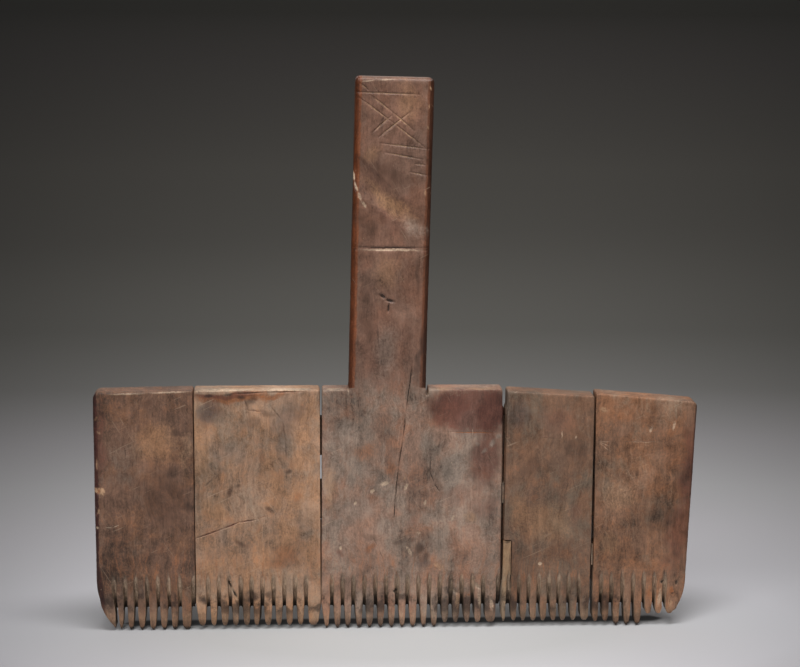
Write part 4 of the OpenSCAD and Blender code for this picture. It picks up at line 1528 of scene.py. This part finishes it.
@dataclass
class Studio:
    """The floor, the lights, the world and the camera.

    Attributes:
        floor_radius: Radius of the floor, in metres.
        camera_place: Where the camera stands, in metres.
        azimuth: How far the camera stands to the right of square on, in degrees.
        elevation: How far it looks down, in degrees.
        roll: How far the picture turns clockwise, in degrees.
        lens: Focal length, in millimetres.
        sensor: Width of the sensor, in millimetres.
        sight: How far the camera sees, in metres.
        aim: What the lamps face, in metres.
        glow: Strength of the even light from all around.
        backdrop: Screen colour of what lies behind the floor.
        ramp_start: Power of ten of the distance, in metres, at which the ramp of greys starts.
        ramp_length: Powers of ten that the ramp covers.
        beam_x: X of the place from which the floor's bright beam spreads, in metres.
        beam_y: Y of that place, in metres.
        beam_lean: How far the beam leans to the right, for each metre ahead.
        beam_edge: How far aside, for each metre ahead, the floor stops getting darker.
        side_fall: How fast the painted shade darkens the floor to both sides of the beam.
        line_y: Y of the painted contact shadow, a soft dark line along the tips, in metres.
        line_ends: Where that painted shadow starts to fade and where it is gone, in metres from the middle.
        line_edges: Distances from that line at which the painted shadow is gone and at which it is full, in
            metres.
    """

    floor_radius: float = 60.0
    camera_place: Triple = (-0.04665, -0.9839, 0.3237)
    azimuth: float = -2.8
    elevation: float = 9.9
    roll: float = 0.3
    lens: float = 90.0
    sensor: float = 36.0
    sight: float = 200.0
    aim: Triple = (0, 0, 0.12)
    glow: float = 0.2
    backdrop: tuple[int, int, int] = (58, 58, 56)
    ramp_start: float = -1.6
    ramp_length: float = 3.1
    beam_x: float = -0.047
    beam_y: float = -1.0
    beam_lean: float = 0.07
    beam_edge: float = 0.29
    side_fall: float = 12.0
    line_y: float = 0.007
    line_ends: Point = (0.132, 0.146)
    line_edges: Point = (0.0068, 0.0025)

    def build(self) -> None:
        """Sets everything up."""
        bpy.context.scene.view_settings.view_transform = "Standard"
        self.place_camera()
        self.lay_floor()
        self.set_world()
        self.hang_lamps()

    def place_camera(self) -> None:
        """Stands the camera where the photograph was taken from."""
        azimuth, elevation, roll = (math.radians(a) for a in (self.azimuth, self.elevation, self.roll))
        back = Vector((
            math.sin(azimuth) * math.cos(elevation),
            -math.cos(azimuth) * math.cos(elevation),
            math.sin(elevation),
        ))
        right = (-back).cross(Vector((0, 0, 1))).normalized()
        up = right.cross(-back)
        turned_right = right * math.cos(roll) + up * math.sin(roll)
        turned_up = up * math.cos(roll) - right * math.sin(roll)
        lens = bpy.data.cameras.new("camera")
        lens.lens = self.lens
        lens.sensor_width = self.sensor
        lens.clip_end = self.sight
        camera = bpy.data.objects.new("camera", lens)
        axes = Matrix((turned_right, turned_up, back)).transposed().to_4x4()
        camera.matrix_world = Matrix.Translation(self.camera_place) @ axes
        bpy.context.scene.collection.objects.link(camera)
        bpy.context.scene.camera = camera

    def lay_floor(self) -> None:
        """Lays a pale floor whose greys are a painted falloff of light, with a painted contact shadow as a
        soft dark line under the tips.
        """
        bpy.ops.object.select_all(action="DESELECT")
        bpy.ops.mesh.primitive_circle_add(vertices=128, radius=self.floor_radius, fill_type="NGON")
        floor = bpy.context.object
        floor.name = "floor"
        sheet = NodeSheet("floor")
        place = sheet.node("ShaderNodeTexCoord", {}, {}, "Object")
        x, y = (sheet.node("ShaderNodeSeparateXYZ", {}, {0: place}, axis) for axis in range(2))
        grey = self.floor_painted_light(sheet, place)
        # The greys and the darkening to both sides of the beam are a painted falloff of light
        ahead = y.most(-0.3) - self.beam_y
        aside = (x - self.beam_x) / ahead - self.beam_lean
        aside = aside.most(-self.beam_edge).least(self.beam_edge)
        painted_side_shade = sheet.math("EXPONENT", aside * aside * -self.side_fall)
        # The painted contact shadow: past the ends of the row the dark line counts as 10 mm farther away, so
        # it fades
        near = abs(y - self.line_y) + abs(x).rise(*self.line_ends) * 0.01
        painted_contact_shadow = near.rise(*self.line_edges, 0.85)
        colour = sheet.scaled(grey, painted_side_shade * (1.0 - painted_contact_shadow))
        floor.data.materials.append(sheet.finish(colour, 0.9, None, {"Specular IOR Level": 0.1}))

    def floor_painted_light(self, sheet: NodeSheet, place: Signal) -> Signal:
        """Gives the floor's grey, a painted falloff of light that changes with the distance from the comb.

        Args:
            sheet: The floor's material.
            place: The place on the floor, in metres.

        Returns:
            The grey.
        """
        squeezed = sheet.vector("MULTIPLY", place, (0.5, 1, 1))
        away = sheet.vector("LENGTH", squeezed, (0, 0, 0), "Value")
        tenfold = sheet.math("LOGARITHM", away.most(0.01), 10.0)
        along = (tenfold - self.ramp_start) / self.ramp_length
        stops = [(part, screen(*grey)) for part, grey in FLOOR_PAINTED_LIGHT]
        return sheet.node("ShaderNodeValToRGB", {"stops": stops}, {0: along}, "Color")

    def set_world(self) -> None:
        """Surrounds the comb with even light, and shows plain grey behind the floor."""
        world = bpy.data.worlds.new("studio")
        world.use_nodes = True
        bpy.context.scene.world = world
        tree = world.node_tree
        tree.nodes.clear()
        out = tree.nodes.new("ShaderNodeOutputWorld")
        glow = tree.nodes.new("ShaderNodeBackground")
        glow.inputs["Color"].default_value = (1.0, 1.0, 1.0, 1.0)
        glow.inputs["Strength"].default_value = self.glow
        seen = tree.nodes.new("ShaderNodeBackground")
        seen.inputs["Color"].default_value = screen(*self.backdrop)
        rays = tree.nodes.new("ShaderNodeLightPath")
        choice = tree.nodes.new("ShaderNodeMixShader")
        tree.links.new(rays.outputs["Is Camera Ray"], choice.inputs["Fac"])
        tree.links.new(glow.outputs[0], choice.inputs[1])
        tree.links.new(seen.outputs[0], choice.inputs[2])
        tree.links.new(choice.outputs[0], out.inputs["Surface"])

    def hang_lamps(self) -> None:
        """Hangs the soft lamps."""
        self.lamp("overhead_lamp", (0.1, -0.35, 1.2), (0.8, 0.3), 10.5)
        self.lamp("front_lamp", (-0.6, -1.3, 1.1), (1.0, 0.8), 13.0)
        self.lamp("back_lamp", (-0.2, 1.1, 0.8), (1.2, 0.3), 1.0)

    def lamp(self, name: str, place: Triple, size: Point, power: float) -> None:
        """Hangs one soft lamp that faces the middle of the comb.

        Args:
            name: Name of the lamp.
            place: Where it hangs, in metres.
            size: Width and height, in metres.
            power: Power in watts.
        """
        light = bpy.data.lights.new(name, "AREA")
        light.shape = "RECTANGLE"
        light.size, light.size_y = size
        light.energy = power
        lamp = bpy.data.objects.new(name, light)
        lamp.location = place
        toward = Vector(self.aim) - Vector(place)
        lamp.rotation_euler = toward.to_track_quat("-Z", "Y").to_euler()
        bpy.context.scene.collection.objects.link(lamp)


def main() -> None:
    """Builds the studio and the comb."""
    logging.basicConfig(level=logging.INFO, format="%(name)s: %(message)s")
    Studio().build()
    BoardRow().build()
    JointWood().build()


if __name__ == "__main__":
    main()
